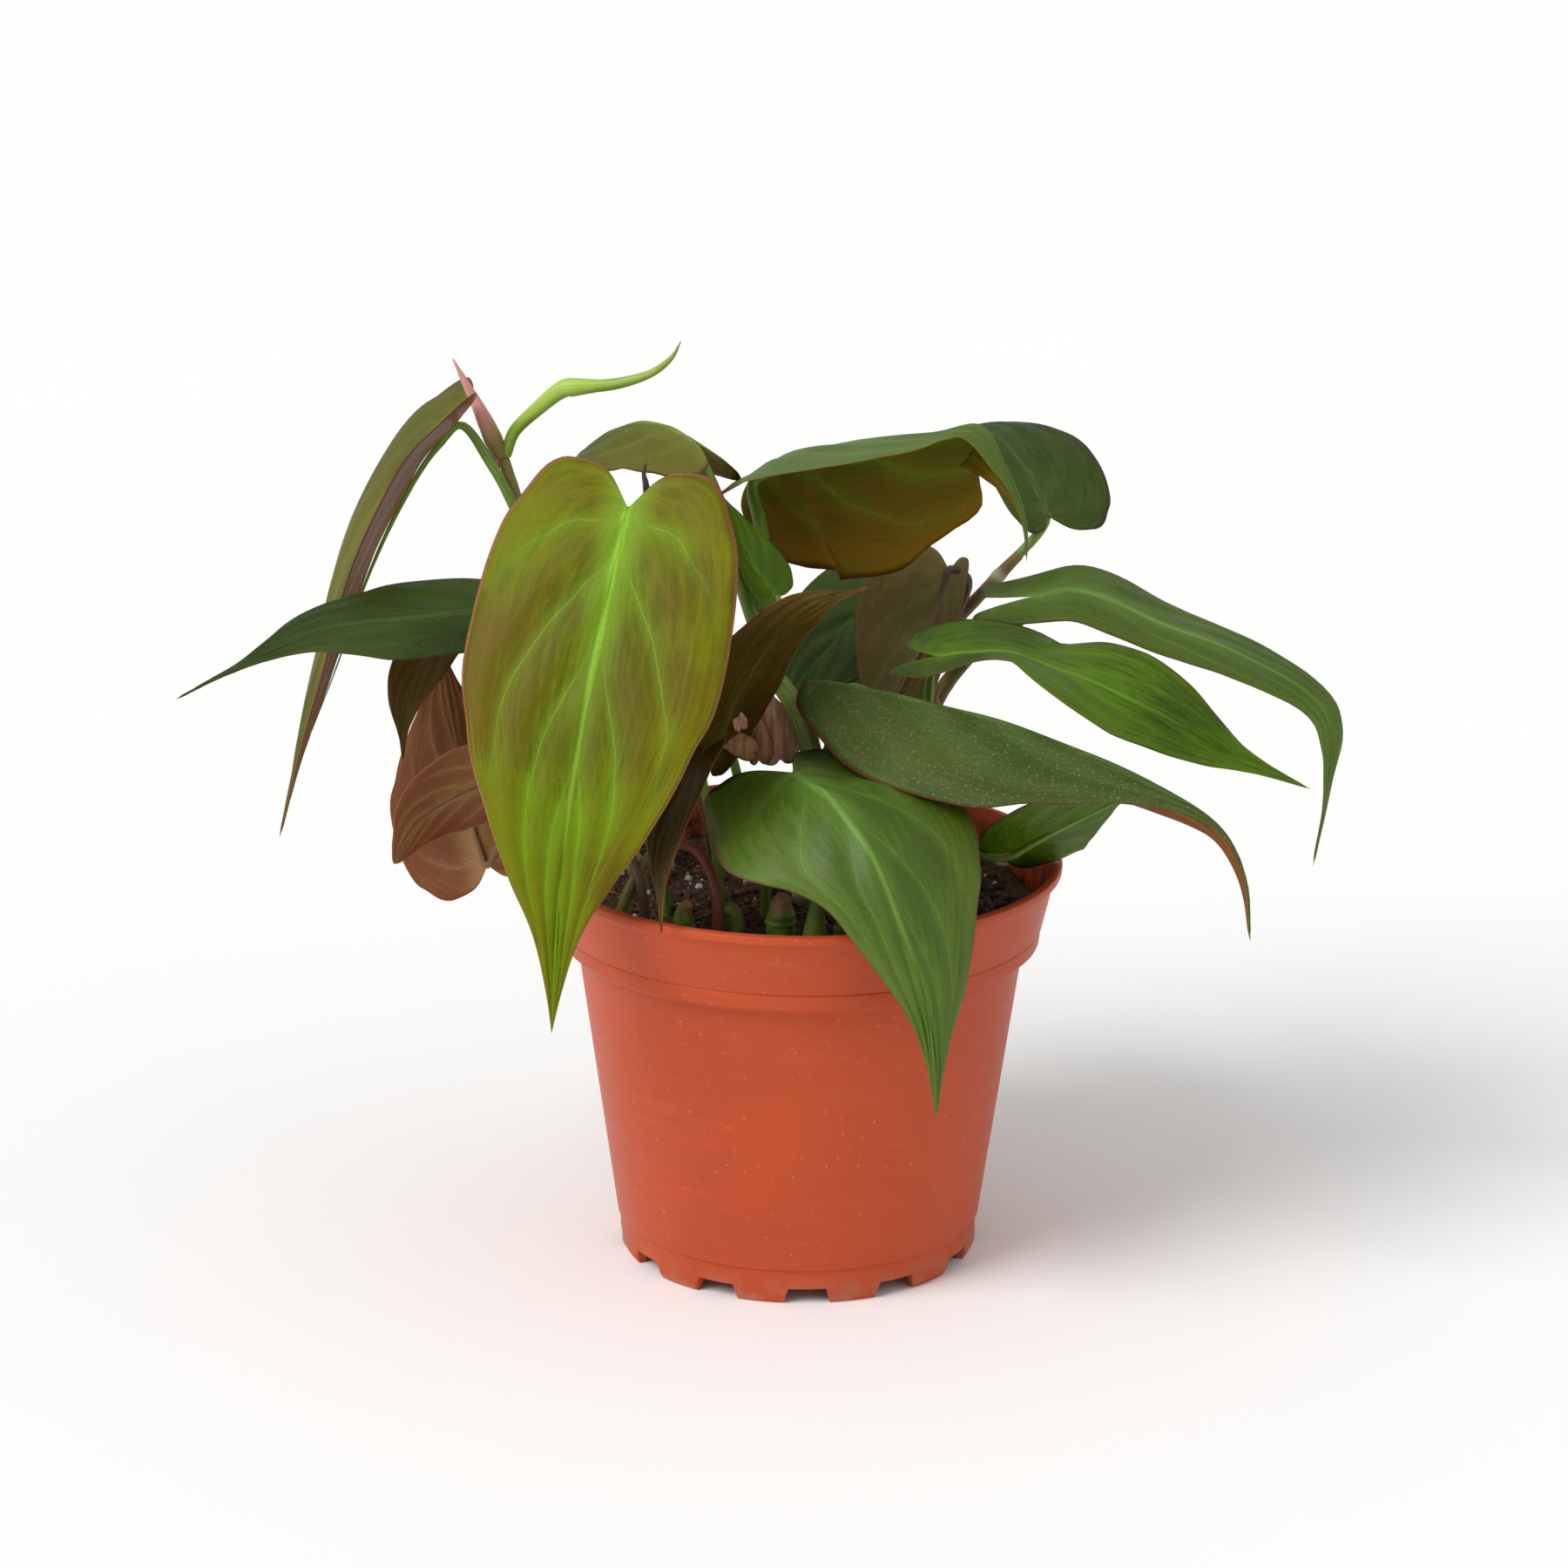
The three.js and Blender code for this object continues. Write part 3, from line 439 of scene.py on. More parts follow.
def stalk_skin(name, main, dark, light, gloss=0.42, scar="#b9b890"):
    """The skin of a stalk or vine: lengthwise streaks, paler joints and small freckles."""
    if name in bpy.data.materials:
        return bpy.data.materials[name]
    tree, material = Tree.of_material(name)
    place = object_place(tree)
    run, turn, joint = tree.split(attribute(tree, "stalk_place"))
    broad = tree.cloud(place, 60, 2)
    streaks = tree.cloud(tree.join(tree.calc("SINE", turn * 2 * math.pi) * 3,
                                   tree.calc("COSINE", turn * 2 * math.pi) * 3, run * 60), 2, 3, 0.6)
    freckles_and_glints = tree.ramp(tree.cloud(place, 900, 1), 0.62, 0.72)
    colour = tree.mix(tree.ramp(streaks, 0.35, 0.65), tint(main), tint(light))
    colour = tree.mix(tree.ramp(broad, 0.45, 0.75), colour, tint(dark))
    colour = tree.mix(freckles_and_glints * 0.35, colour, tint(dark))
    colour = tree.mix(joint, colour, tint(scar))
    surface(tree, colour, tree.ramp(streaks, 0.2, 0.8, gloss - 0.08, gloss + 0.12),
            streaks * 0.6 + freckles_and_glints * 0.4, 0.4, 0.0003, Sheen_Weight=0.1)
    return material


def pot_plastic(colour, dust):
    """Satin moulded plastic: faint mottling, rubbed streaks, dust round the feet and dark patches on the
    inner wall, darker towards the soil.
    """
    tree, material = Tree.of_material("terracotta_plastic_skin")
    place = object_place(tree)
    z = tree.split(place)[2]
    broad = tree.cloud(place, 22, 3)
    flow = tree.cloud(tree.vector("MULTIPLY", place, (60, 60, 500)), 1, 3, 0.6)
    grain = tree.cloud(place, 1500, 2)
    main = opaque(colour)
    lighter = opaque([min(1, c * 1.12 + 0.004) for c in colour[:3]])
    darker = opaque([c * 0.88 for c in colour[:3]])
    shade = tree.mix(tree.ramp(broad, 0.35, 0.65), darker, main)
    shade = tree.mix(tree.ramp(flow, 0.5, 0.75) * 0.35, shade, lighter)
    rubbed = tree.ramp(tree.cloud(tree.vector("MULTIPLY", place, (25, 25, 160)), 1, 5, 0.7), 0.6, 0.72)
    shade = tree.mix(rubbed * 0.06, shade, tint("#e0a98c"))
    specks = tree.ramp(tree.cloud(place, 900, 1), 0.7, 0.76)
    shade = tree.mix(specks * 0.14, shade, tint("#dcb8a0"))
    foot = tree.ramp(z, 0.0, 0.007, 1, 0) * tree.ramp(tree.cloud(place, 130, 4, 0.65), 0.42, 0.6)
    shade = tree.mix(foot * dust, shade, tint("#a87a62"))
    # Dark patches on the inner wall above the soil, strongest next to the soil and fading towards the rim.
    inner_dark_patches = attribute(tree, "inner_wall", 2) * tree.ramp(tree.cloud(place, 260, 4, 0.7), 0.4, 0.62) \
        * tree.ramp(z, SOIL_HIGH.z, POT_HIGH.z, 1, 0.1)
    shade = tree.mix(inner_dark_patches * 0.85, shade, tint("#2a1a10"))
    surface(tree, shade, tree.ramp(flow * 0.5 + broad * 0.5, 0.3, 0.7, 0.36, 0.5),
            grain * 0.3 + flow * 0.5 + rubbed * 0.2, 0.2, 0.0003, Specular_IOR_Level=0.22)
    return material


def crumbly(name, dark, light, scale, gloss=0.85, bump=0.8):
    """Soil and what lies in it: two colours, broken up finely, and a rough face."""
    tree, material = Tree.of_material(name)
    place = object_place(tree)
    broad = tree.cloud(place, scale * 0.25, 3)
    fine = tree.cloud(place, scale, 5, 0.65)
    colour = tree.mix(tree.ramp(fine * 0.6 + broad * 0.4, 0.4, 0.65), tint(dark), tint(light))
    surface(tree, colour, tree.ramp(fine, 0.3, 0.7, gloss, gloss - 0.15), fine, bump, 0.0012)
    return material


def papery(name, main, edge):
    """A dry bud sheath: thin, fibrous and darker where it has shrivelled."""
    if name in bpy.data.materials:
        return bpy.data.materials[name]
    tree, material = Tree.of_material(name)
    place = object_place(tree)
    fibres = tree.cloud(tree.vector("MULTIPLY", place, (900, 900, 90)), 1, 3, 0.6)
    broad = tree.cloud(place, 160, 2)
    colour = tree.mix(tree.ramp(fibres, 0.35, 0.65), tint(main), tint(edge))
    colour = tree.mix(tree.ramp(broad, 0.5, 0.75) * 0.6, colour, tint(edge))
    surface(tree, colour, tree.ramp(fibres, 0.3, 0.7, 0.5, 0.7), fibres, 0.6, 0.0004)
    return material


# ---- Geometry trees -----------------------------------------------------------------------------------
# A blade's outline from the notch round one lobe to the tip: share of the length, share of the half width.
OUTLINE = [(0, 0), (-0.07, 0.25), (-0.08, 0.52), (0, 0.82), (0.12, 0.97), (0.27, 1),
           (0.45, 0.86), (0.6, 0.62), (0.72, 0.37), (0.82, 0.17), (0.92, 0.06), (1, 0)]
WAIST_SPAN = (0.12, 0.5)  # the shares of the length between which a half with a waist narrows
WELD = 2e-6  # metres: how near two points are before they become one
BACK = 0.1  # added to the lengths, which start behind the joint, to keep a profile above nought


def blade_tree():
    """A heart-shaped blade round its midrib, welded along the margin, with its underside as a second skin."""
    tree = Tree.of_geometry("Leaf blade", [
        ("Left width", "Float", 20 * MM), ("Right width", "Float", 20 * MM),
        ("Left fold", "Float", 0.0), ("Right fold", "Float", 0.0),
        ("Left slimness", "Float", 1.0), ("Right slimness", "Float", 1.0),
        ("Left waist", "Float", 0.0), ("Right waist", "Float", 0.0),
        ("Margin rise", "Float", 0.0), ("Lobe reach", "Float", 1.0), ("Length", "Float", 100 * MM),
        ("Thickness", "Float", 0.5 * MM), ("Quilting", "Float", 0.4 * MM), ("Wave", "Float", 1.0 * MM),
        ("Rows", "Int", 90), ("Columns", "Int", 44), ("Seed", "Float", 0.0),
        ("Upper skin", "Material", None), ("Underside", "Material", None),
    ])
    given = tree.given
    rib = tree.take("GeometryNodeMeshToCurve", [given["Geometry"]])
    grid = tree.take("GeometryNodeMeshGrid", [2.0, 1.0, given["Columns"] + 1, given["Rows"] + 1])
    across, run, _ = tree.split(tree.take("GeometryNodeInputPosition"))
    run = run + 0.5
    side = tree.calc("SIGN", across)
    reach = tree.calc("ABSOLUTE", across) ** 1.3
    knots = [i / (len(OUTLINE) - 1) for i in range(len(OUTLINE))]
    margin_u = tree.profile(run, [(t, (u + BACK) / (1 + BACK)) for t, (u, v) in zip(knots, OUTLINE)])
    margin_v = tree.profile(run, [(t, v) for t, (u, v) in zip(knots, OUTLINE)])
    margin_u = margin_u * (1 + BACK) - BACK
    on_right = tree.calc("GREATER_THAN", across, 0.0)

    def half_of(label):
        return tree.choose(on_right, given["Left " + label], given["Right " + label])

    ahead = tree.choose(reach, run, margin_u)
    narrowing = 1.0 - half_of("waist") * tree.ramp(margin_u, *WAIST_SPAN)
    aside = margin_v ** half_of("slimness") * narrowing * reach
    share = tree.calc("MINIMUM", tree.calc("MAXIMUM", ahead, 0.0), 1.0)
    sample = tree.node("GeometryNodeSampleCurve",
                       {"Curves": rib, "Value": tree.stored("face_up"), "Factor": share},
                       data_type="FLOAT_VECTOR", use_all_curves=True)
    up_given, place, heading = (Field(tree, sample.outputs[i]) for i in (0, 1, 2))
    heading = tree.vector("NORMALIZE", heading)
    up = tree.vector("NORMALIZE", up_given - heading * tree.vector("DOT_PRODUCT", up_given, heading, out=1))
    right = tree.vector("CROSS_PRODUCT", heading, up)
    fold = half_of("fold")
    spread = aside * half_of("width")
    phase = vein_phase(tree, reach, run)
    puff = tree.ramp(tree.calc("PINGPONG", phase + 16, 0.5), 0.0, 0.5)
    open_part = tree.ramp(run, 0.0, 0.15) * tree.ramp(run, 0.75, 1.0, 1, 0) \
        * tree.ramp(reach, 0.75, 1.0, 1, 0)
    relief = (puff * open_part - tree.ramp(spread, 0.0, 2.5 * MM, 0.5, 0) * tree.ramp(run, 0.0, 0.1)) \
        * given["Quilting"]
    waves = tree.cloud(tree.join(run * 3.2, side * 2 + given["Seed"], given["Seed"] * 0.37), 1.6, 2)
    wave = (waves - 0.5) * given["Wave"] * 2 * reach ** 3 * tree.ramp(run, 0.0, 0.2) \
        * tree.ramp(run, 0.85, 1.0, 1, 0.2)
    lift = spread * tree.calc("SINE", fold) + given["Margin rise"] * aside * aside + relief + wave
    back = tree.calc("MINIMUM", ahead, 0.0) * given["Length"] * given["Lobe reach"]
    leaf_place = tree.join(side * reach, run, spread / MM)
    marked = tree.store(grid, "leaf_place", leaf_place, "FLOAT_VECTOR", "CORNER")
    sheet = tree.moved(marked, Position=place + heading * back + up * lift
                       + right * (side * spread * tree.calc("COSINE", fold)))
    held = tree.stored("leaf_place")
    reach_held, run_held, _ = tree.split(held)
    reach_held = tree.calc("ABSOLUTE", reach_held)
    half = given["Thickness"] * 0.5 * tree.calc("SQRT", 1.0 - reach_held ** 10) \
        * tree.ramp(run_held, 0.0, 0.02) * tree.ramp(run_held, 0.97, 1.0, 1, 0)
    normal = tree.take("GeometryNodeInputNormal")
    upper = tree.moved(sheet, Offset=normal * half)
    under = tree.moved(sheet, Offset=normal * (half * -1.0))
    under = tree.take("GeometryNodeFlipFaces", [under])
    under = tree.store(under, "underside", True, "BOOLEAN", "FACE")
    both = tree.node("GeometryNodeJoinGeometry")
    for part in (under, upper):
        tree.tree.links.new(part.socket, both.inputs[0])
    welded = tree.take("GeometryNodeMergeByDistance",
                       {"Geometry": Field(tree, both.outputs[0]), "Distance": WELD})
    painted = tree.painted(tree.realized(welded), given["Upper skin"])
    return tree.end(tree.painted(painted, given["Underside"], tree.stored("underside", "BOOLEAN")))


def stalk_tree():
    """A round stalk along a path, whose girth and joints come with the path, with a slightly uneven skin."""
    tree = Tree.of_geometry("Stalk", [
        ("Sides", "Int", 14), ("Unevenness", "Float", 0.08 * MM), ("Grain", "Float", 350.0),
        ("Skin", "Material", None),
    ])
    given = tree.given
    line = tree.take("GeometryNodeMeshToCurve", [given["Geometry"]])
    line = tree.store(line, "run", tree.take("GeometryNodeSplineParameter", out=1), "FLOAT", "POINT")
    ring = tree.take("GeometryNodeCurvePrimitiveCircle", {"Resolution": given["Sides"], "Radius": 1.0})
    ring = tree.store(ring, "turn", tree.take("GeometryNodeSplineParameter"), "FLOAT", "POINT")
    tube = tree.take("GeometryNodeCurveToMesh", {"Curve": line, "Profile Curve": ring,
                                                 "Scale": tree.stored("girth", "FLOAT"), "Fill Caps": True})
    stalk_place = tree.join(*(tree.stored(key, "FLOAT") for key in ("run", "turn", "joint")))
    tube = tree.store(tube, "stalk_place", stalk_place, "FLOAT_VECTOR", "POINT")
    rough = tree.cloud(tree.take("GeometryNodeInputPosition"), given["Grain"], 2) - 0.5
    tube = tree.moved(tube, Offset=tree.take("GeometryNodeInputNormal") * (rough * 2 * given["Unevenness"]))
    return tree.end(tree.painted(tree.realized(tube), given["Skin"]))


def scatter_tree():
    """Bits of one shape strewn over a ground, turned and sized at random."""
    tree = Tree.of_geometry("Soil scatter", [
        ("Shape", "Object", None), ("Density", "Float", 10000.0), ("Smallest", "Float", 1 * MM),
        ("Largest", "Float", 3 * MM), ("Flatness", "Float", 1.0), ("Tilt", "Float", math.pi),
        ("Sink", "Float", 0.3), ("Seed", "Int", 1), ("Finish", "Material", None),
    ])
    given = tree.given
    bits = tree.take("GeometryNodeDistributePointsOnFaces",
                     {"Mesh": given["Geometry"], "Density": given["Density"], "Seed": given["Seed"]})
    shape = tree.take("GeometryNodeObjectInfo", [given["Shape"]], 4)

    def chance(low, high, offset, kind="FLOAT", out=1):
        feeds = {"Seed": given["Seed"] + offset}
        feeds.update({0: low, 1: high} if kind == "FLOAT_VECTOR" else {2: low, 3: high})
        return tree.take("FunctionNodeRandomValue", feeds, out, data_type=kind)

    size = chance(0.0, 1.0, 1) ** 2.2
    size = given["Smallest"] + (given["Largest"] - given["Smallest"]) * size
    tilt = given["Tilt"]
    turn = tree.join(chance(-1.0, 1.0, 2) * tilt, chance(-1.0, 1.0, 3) * tilt, chance(0.0, 2 * math.pi, 4))
    bits = tree.moved(bits, Offset=tree.join(0.0, 0.0, size * given["Sink"] * -1.0))
    strewn = tree.take("GeometryNodeInstanceOnPoints", {
        "Points": bits, "Instance": shape, "Rotation": turn,
        "Scale": tree.join(size, size * chance(0.6, 1.0, 5), size * given["Flatness"])})
    return tree.end(tree.painted(tree.realized(strewn), given["Finish"]))


TREES = {"blade": blade_tree(), "stalk": stalk_tree(), "scatter": scatter_tree()}


def stalk(name, points, girths, skin, sides=14, steps=60, joints=(), uneven=0.06, swell=0.28):
    """A stalk through points, in the plant's frame. girths are its radii, evenly spaced along it, and joints
    the shares of its length where it is swollen and ringed."""
    path = smooth_path([at(p) for p in points], steps)
    marks = [sum(math.exp(-(((i / (steps - 1)) - j) / 0.016) ** 2) for j in joints) for i in range(steps)]
    girth = [level(girths, i / (steps - 1)) * MM * (1 + swell * m) for i, m in enumerate(marks)]
    mesh = path_mesh(name, path, girth=girth, joint=[min(1.0, m) * 0.8 for m in marks])
    return grown(name, mesh, TREES["stalk"], Sides=sides, Unevenness=uneven * MM, Skin=skin)


# ---- The plant's pieces -------------------------------------------------------------------------------
VINES = {
    "stem_centre": dict(points=[(1, -6, -ROOT_DEPTH), (1, -7, 14), (2, -8, 32), (-2, -6, 43), (-7, -3, 50),
                                (-8, 1, 58), (-6, 4, 65)], radius=2.3, skin="green"),
    "stem_right": dict(points=[(22, 6, -ROOT_DEPTH), (25, 10, 20), (28, 12, 38), (35, 13, 48), (40, 13, 53)],
                       radius=1.9, skin="brown"),
    "stem_left": dict(points=[(-30, 4, -ROOT_DEPTH), (-38, 5, 12), (-50, 10, 46), (-59, 15, 77),
                              (-63, 18, 89)], radius=1.7, skin="brown"),
    "stem_back": dict(points=[(8, 16, -ROOT_DEPTH), (11, 23, 22), (24, 28, 42), (36, 30, 55), (46, 30, 66)],
                      radius=1.6, skin="brown"),
    "stem_left_low": dict(points=[(-24, 16, -ROOT_DEPTH), (-34, 20, 8), (-48, 22, 24), (-58, 24, 38)],
                          radius=1.6, skin="green"),
}

# rib: from the petiole's joint to the tip. faces: the way the upper side looks, from the joint to the tip.
# half: the widths of the left and right halves, seen from above with the tip ahead. fold: how far each half
# is raised, in degrees. slim: a power that narrows the ends of each half. waist: how far each half narrows
# past its lobe. rise: how far the margins curl up. lobes: how far the two lobes reach back past the joint.
# wave: the margins' waviness. top, under and slot: the skins and the finish. foot: where the petiole stands
# in the soil, or vine and share: its place on a vine. via: the petiole's route. stout: its girth against the
# girth of the others.
PLAIN_LEAF = dict(slim=(1.0, 1.0), waist=(0.0, 0.0), rise=0, lobes=1, stout=1.0, via=[])
LEAVES = {name: {**PLAIN_LEAF, **leaf} for name, leaf in {
    "front_heart": dict(
        half=(27, 27), fold=(6, 6), rise=-2, top="bronze_green_skin", under="bronze_underside",
        slot="bronze_green",
        rib=[(-35.5, -22, 88), (-38.5, -29, 75), (-41, -35, 63), (-44, -42, 48.5), (-46.2, -48, 34),
             (-48.2, -51, 18.5), (-50, -54, -13)], faces=[(-0.22, -0.8, 0.5), (0, -0.95, 0.3)],
        foot=(-28, -14), via=[(-29, -10, 26), (-27, -5, 58), (-31, -11, 79)], wave=0.8),
    "front_low": dict(
        half=(27, 25), fold=(-20, -12), waist=(0.0, 0.45), rise=-2, lobes=1.9, top="mid_green_skin",
        under="green_underside", slot="mid_green",
        rib=[(-2, -28, 34.5), (5, -42, 33.5), (12, -52, 27.6), (18.9, -60, 14.8), (24.3, -63, -0.5),
             (26.5, -64, -14.8), (27.2, -64, -27)],
        faces=[(-0.05, -0.5, 0.86), (0, -0.75, 0.65), (0.2, -0.95, 0.2)], foot=(-7, -15),
        via=[(-7, -16, 14), (-4, -20, 28)], wave=1.4),
    "right_dark": dict(
        half=(18, 23), fold=(-74, -6), slim=(0.8, 2.2), rise=-1, top="dark_green_skin",
        under="mauve_underside", slot="dark_green",
        rib=[(9, -11, 48.5), (20, -15.5, 47.3), (40.2, -26, 45), (64.3, -37, 38.5), (83.1, -46, 29.5),
             (88.5, -50, 20), (90, -52, 7)], faces=[(0, -0.5, 0.86), (0, -0.5, 0.86), (0.6, -0.5, 0.6)],
        vine="stem_centre", share=0.36, via=[(6, -8, 36)], wave=1.2),
    "right_bright": dict(
        half=(15, 15), fold=(6, 10), lobes=1.2, top="light_green_skin", under="green_underside",
        slot="bright_green",
        rib=[(27.7, -2, 52), (41, -6, 54), (55.2, -12, 51), (71.2, -16, 45), (85.5, -18, 37.2),
             (104.8, -16, 28.2)],
        faces=[(0, -0.3, 0.95), (0, 0.1, 0.99), (0.05, -0.6, 0.8), (0.1, -0.8, 0.5), (0.1, -0.8, 0.5)],
        vine="stem_right", share=0.5, via=[(26, 3, 38)], wave=1.2),
    "far_right": dict(
        half=(12, 10), fold=(-6, -10), lobes=1.6, top="mid_green_skin", under="green_underside",
        slot="mid_green",
        rib=[(48.5, 16, 60.5), (58.2, 14, 62.3), (74.7, 12, 56), (91.1, 10, 50), (105.9, 8, 42.1),
             (110.9, 5, 36.4), (110.7, 3, 23.6), (108.1, 2, 5.7)],
        faces=[(-0.3, -0.3, 0.9), (0, -0.2, 0.97), (0.4, -0.3, 0.86), (0.9, -0.4, 0.2)], vine="stem_right",
        share=0.93, via=[(45, 16, 54)], wave=1.6),
    "back_right": dict(
        half=(9, 17), fold=(0, 0), top="deep_green_skin", under="grey_underside", slot="dark_green",
        rib=[(52, 32, 74), (48, 43, 81), (41, 57, 86), (33, 70, 84), (27, 80, 74)],
        faces=[(0.25, -0.65, 0.7), (0.1, -0.3, 0.95), (-0.1, 0.3, 0.95)], vine="stem_back", share=0.93,
        wave=1.0),
    "top": dict(
        half=(29, 23), fold=(-60, -30), slim=(1.35, 1.0), top="mid_green_skin", under="bronze_underside",
        slot="dark_green",
        rib=[(-11, 15, 86), (-3, 12, 91.6), (13.7, 8, 95.6), (28, 4, 98.3), (36.4, 1, 100), (41.5, -4, 92.1),
             (45.4, -8, 82.1), (45.8, -10, 74.4)],
        faces=[(0, 0.5, 0.86), (0, 0.5, 0.86), (0.3, 0.4, 0.8), (0.8, 0.1, 0.5)], vine="stem_centre",
        share=0.97, via=[(-9, 9, 77)], stout=1.4, wave=1.0),
    "top_left": dict(
        half=(15, 16), fold=(-10, -55), rise=-1, lobes=2.4, top="olive_skin", under="bronze_underside",
        slot="dark_green",
        rib=[(-22.6, 0, 97), (-29.4, 6, 99), (-36.8, 12, 97.5), (-44.4, 20, 91.5), (-49.2, 30, 83.6)],
        faces=[(0.2, -0.45, 0.86), (-0.1, -0.3, 0.9), (-0.4, 0.1, 0.8)], vine="stem_centre", share=0.84,
        via=[(-13, -2, 68), (-18, -3, 86), (-21, -3, 93)], stout=1.4, wave=1.2),
    "centre_edge": dict(
        half=(9, 7), fold=(20, 20), top="light_green_skin", under="green_underside", slot="dark_green",
        rib=[(-6, -6, 66), (-11, -10, 74), (-15, -9, 83), (-19, -7, 90)],
        faces=[(0.75, -0.6, 0.2), (0.7, -0.3, 0.5)], vine="stem_centre", share=0.91, wave=0.3),
    "centre_bronze": dict(
        half=(16, 11), fold=(0, 0), top="brown_skin", under="bronze_underside", slot="bronze_brown",
        rib=[(-19, -13, 32), (-14, -17, 46), (-6, -23, 61), (2, -28, 69), (13, -33, 75)],
        faces=[(0.7, -0.6, -0.3), (0.5, -0.7, -0.4), (0.2, -0.5, 0.8)], foot=(-18, -4),
        via=[(-19, -6, 14), (-22, -7, 26)], wave=0.8),
    "hanging_dark": dict(
        half=(7, 7), fold=(10, 10), top="brown_skin", under="mauve_underside", slot="dark_green",
        rib=[(-20, -27, 38), (-23, -34, 35), (-26, -41, 28), (-28, -48, 19), (-28, -53, 8)],
        faces=[(-0.5, -0.3, 0.8), (-0.7, -0.6, 0.3)], foot=(-15, -20),
        via=[(-18, -20, 18), (-20.5, -22.5, 33)], wave=0.6),
    "left_low": dict(
        half=(11, 15), fold=(-8, -12), slim=(1.5, 1.5), top="deep_green_skin", under="mauve_underside",
        slot="dark_green",
        rib=[(-57.4, -12, 64), (-71.6, -14, 63.5), (-83.9, -16, 62.6), (-97.9, -18, 61.2),
             (-110.1, -21, 56.4), (-127.7, -24, 47.7)], faces=[(0, -0.45, 0.9), (-0.1, -0.5, 0.86)],
        vine="stem_left", share=0.55, via=[(-52, 0, 57)], wave=1.2),
    "left_tall": dict(
        half=(15, 18), fold=(42, -5), top="olive_skin", under="mauve_underside", slot="dark_green",
        rib=[(-72.5, 16, 97), (-78.7, 15, 90.5), (-86, 13, 77.9), (-92.4, 11, 63.3), (-98, 9, 46.8),
             (-105.6, 7, 26.4), (-110.4, 5, 9.3)], faces=[(-0.75, -0.45, 0.45), (-0.8, -0.5, 0.3)],
        vine="stem_left", share=0.86, via=[(-65, 14, 88)], wave=0.8),
    "left_small": dict(
        half=(8, 8), fold=(8, 8), top="brown_skin", under="mauve_underside", slot="bronze_brown",
        rib=[(-74, 26, 52), (-80, 22, 44), (-84, 19, 36), (-85, 17, 23)],
        faces=[(-0.5, -0.6, 0.6), (-0.5, -0.8, 0.3)], vine="stem_left_low", share=0.92, via=[(-66, 26, 48)],
        wave=0.4),
    "left_mauve": dict(
        half=(12, 18), fold=(6, 6), top="mid_green_skin", under="mauve_underside", slot="bronze_brown",
        rib=[(-67.2, 19, -1), (-70.1, 22, 6), (-73.1, 28, 18.5), (-76.1, 33, 32.7), (-78.1, 36, 46)],
        faces=[(0.1, 0.9, -0.2), (0.1, 0.9, 0.2)], vine="stem_left_low", share=0.5,
        via=[(-50, 15, 32), (-60.5, 14, 14)], wave=0.8),
    "left_tongue": dict(
        half=(13, 14), fold=(5, 5), slim=(0.6, 0.6), top="mid_green_skin", under="mauve_underside",
        slot="bronze_brown", rib=[(-59, 0, 25.5), (-69.3, -1, 22.4), (-78.3, -3, 17), (-85.3, -5, 7)],
        faces=[(-0.3, 0.75, 0.6), (-0.4, 0.8, 0.3)], vine="stem_left_low", share=0.4,
        via=[(-41, 14, 16), (-47, 1, 22)], wave=0.6),
    "centre_grey": dict(
        half=(17, 5), fold=(8, 8), top="mid_green_skin", under="grey_underside", slot="bronze_brown",
        rib=[(31, 24, 64), (26, 20, 50), (19, 16, 36), (13, 12, 24)],
        faces=[(0.3, 0.8, 0.4), (0.2, 0.8, -0.2)], vine="stem_back", share=0.78,
        via=[(35, 27, 61)], wave=0.5),
    "centre_dark": dict(
        half=(13, 13), fold=(5, 5), top="deep_green_skin", under="green_underside", slot="dark_green",
        rib=[(17, 40, 56), (8, 34, 47), (0, 27, 37), (-4, 21, 27)],
        faces=[(-0.3, -0.7, 0.6), (-0.2, -0.8, 0.3)], vine="stem_back", share=0.6, via=[(22, 38, 50)],
        wave=0.6),
    "right_low": dict(
        half=(17, 13), fold=(5, 5), lobes=1.5, top="light_green_skin", under="light_green_skin",
        slot="bright_green", rib=[(43.5, -14, 13.6), (52, -17, 19.5), (63, -17, 25), (72, -14, 29.5)],
        faces=[(-0.3, 0.6, 0.5), (-0.1, 0.6, 0.7)], vine="stem_right", share=0.42,
        via=[(31, -1, 27), (33, -9, 19), (38, -12, 12)], wave=0.6),
    "back_left": dict(
        half=(18, 18), fold=(-8, -8), top="dark_green_skin", under="mauve_underside", slot="dark_green",
        rib=[(-36, 36, 38), (-46, 46, 32), (-56, 54, 16), (-60, 54, -2), (-59, 48, -18)],
        faces=[(-0.4, 0.4, 0.8), (-0.7, 0.6, 0.3)], foot=(-18, 26), via=[(-22, 29, 16), (-30, 33, 30)],
        wave=1.2),
    "back_mid": dict(
        half=(18, 18), fold=(-8, -8), top="mid_green_skin", under="green_underside", slot="mid_green",
        rib=[(14, 50, 46), (15, 62, 44), (16, 72, 32), (17, 76, 14), (17, 76, -8)],
        faces=[(0, 0.4, 0.9), (0, 0.95, 0.3)], foot=(6, 28), via=[(7, 32, 20), (11, 43, 40)], wave=1.2),
    "back_upper": dict(
        half=(19, 19), fold=(-8, -8), top="bronze_green_skin", under="bronze_underside", slot="bronze_green",
        rib=[(-34, 24, 64), (-38, 38, 68), (-42, 54, 60), (-44, 64, 42), (-44, 66, 24)],
        faces=[(-0.1, 0.2, 0.97), (-0.1, 0.95, 0.3)], foot=(-10, 22), via=[(-14, 22, 20), (-26, 21, 52)],
        wave=1.2),
}.items()}

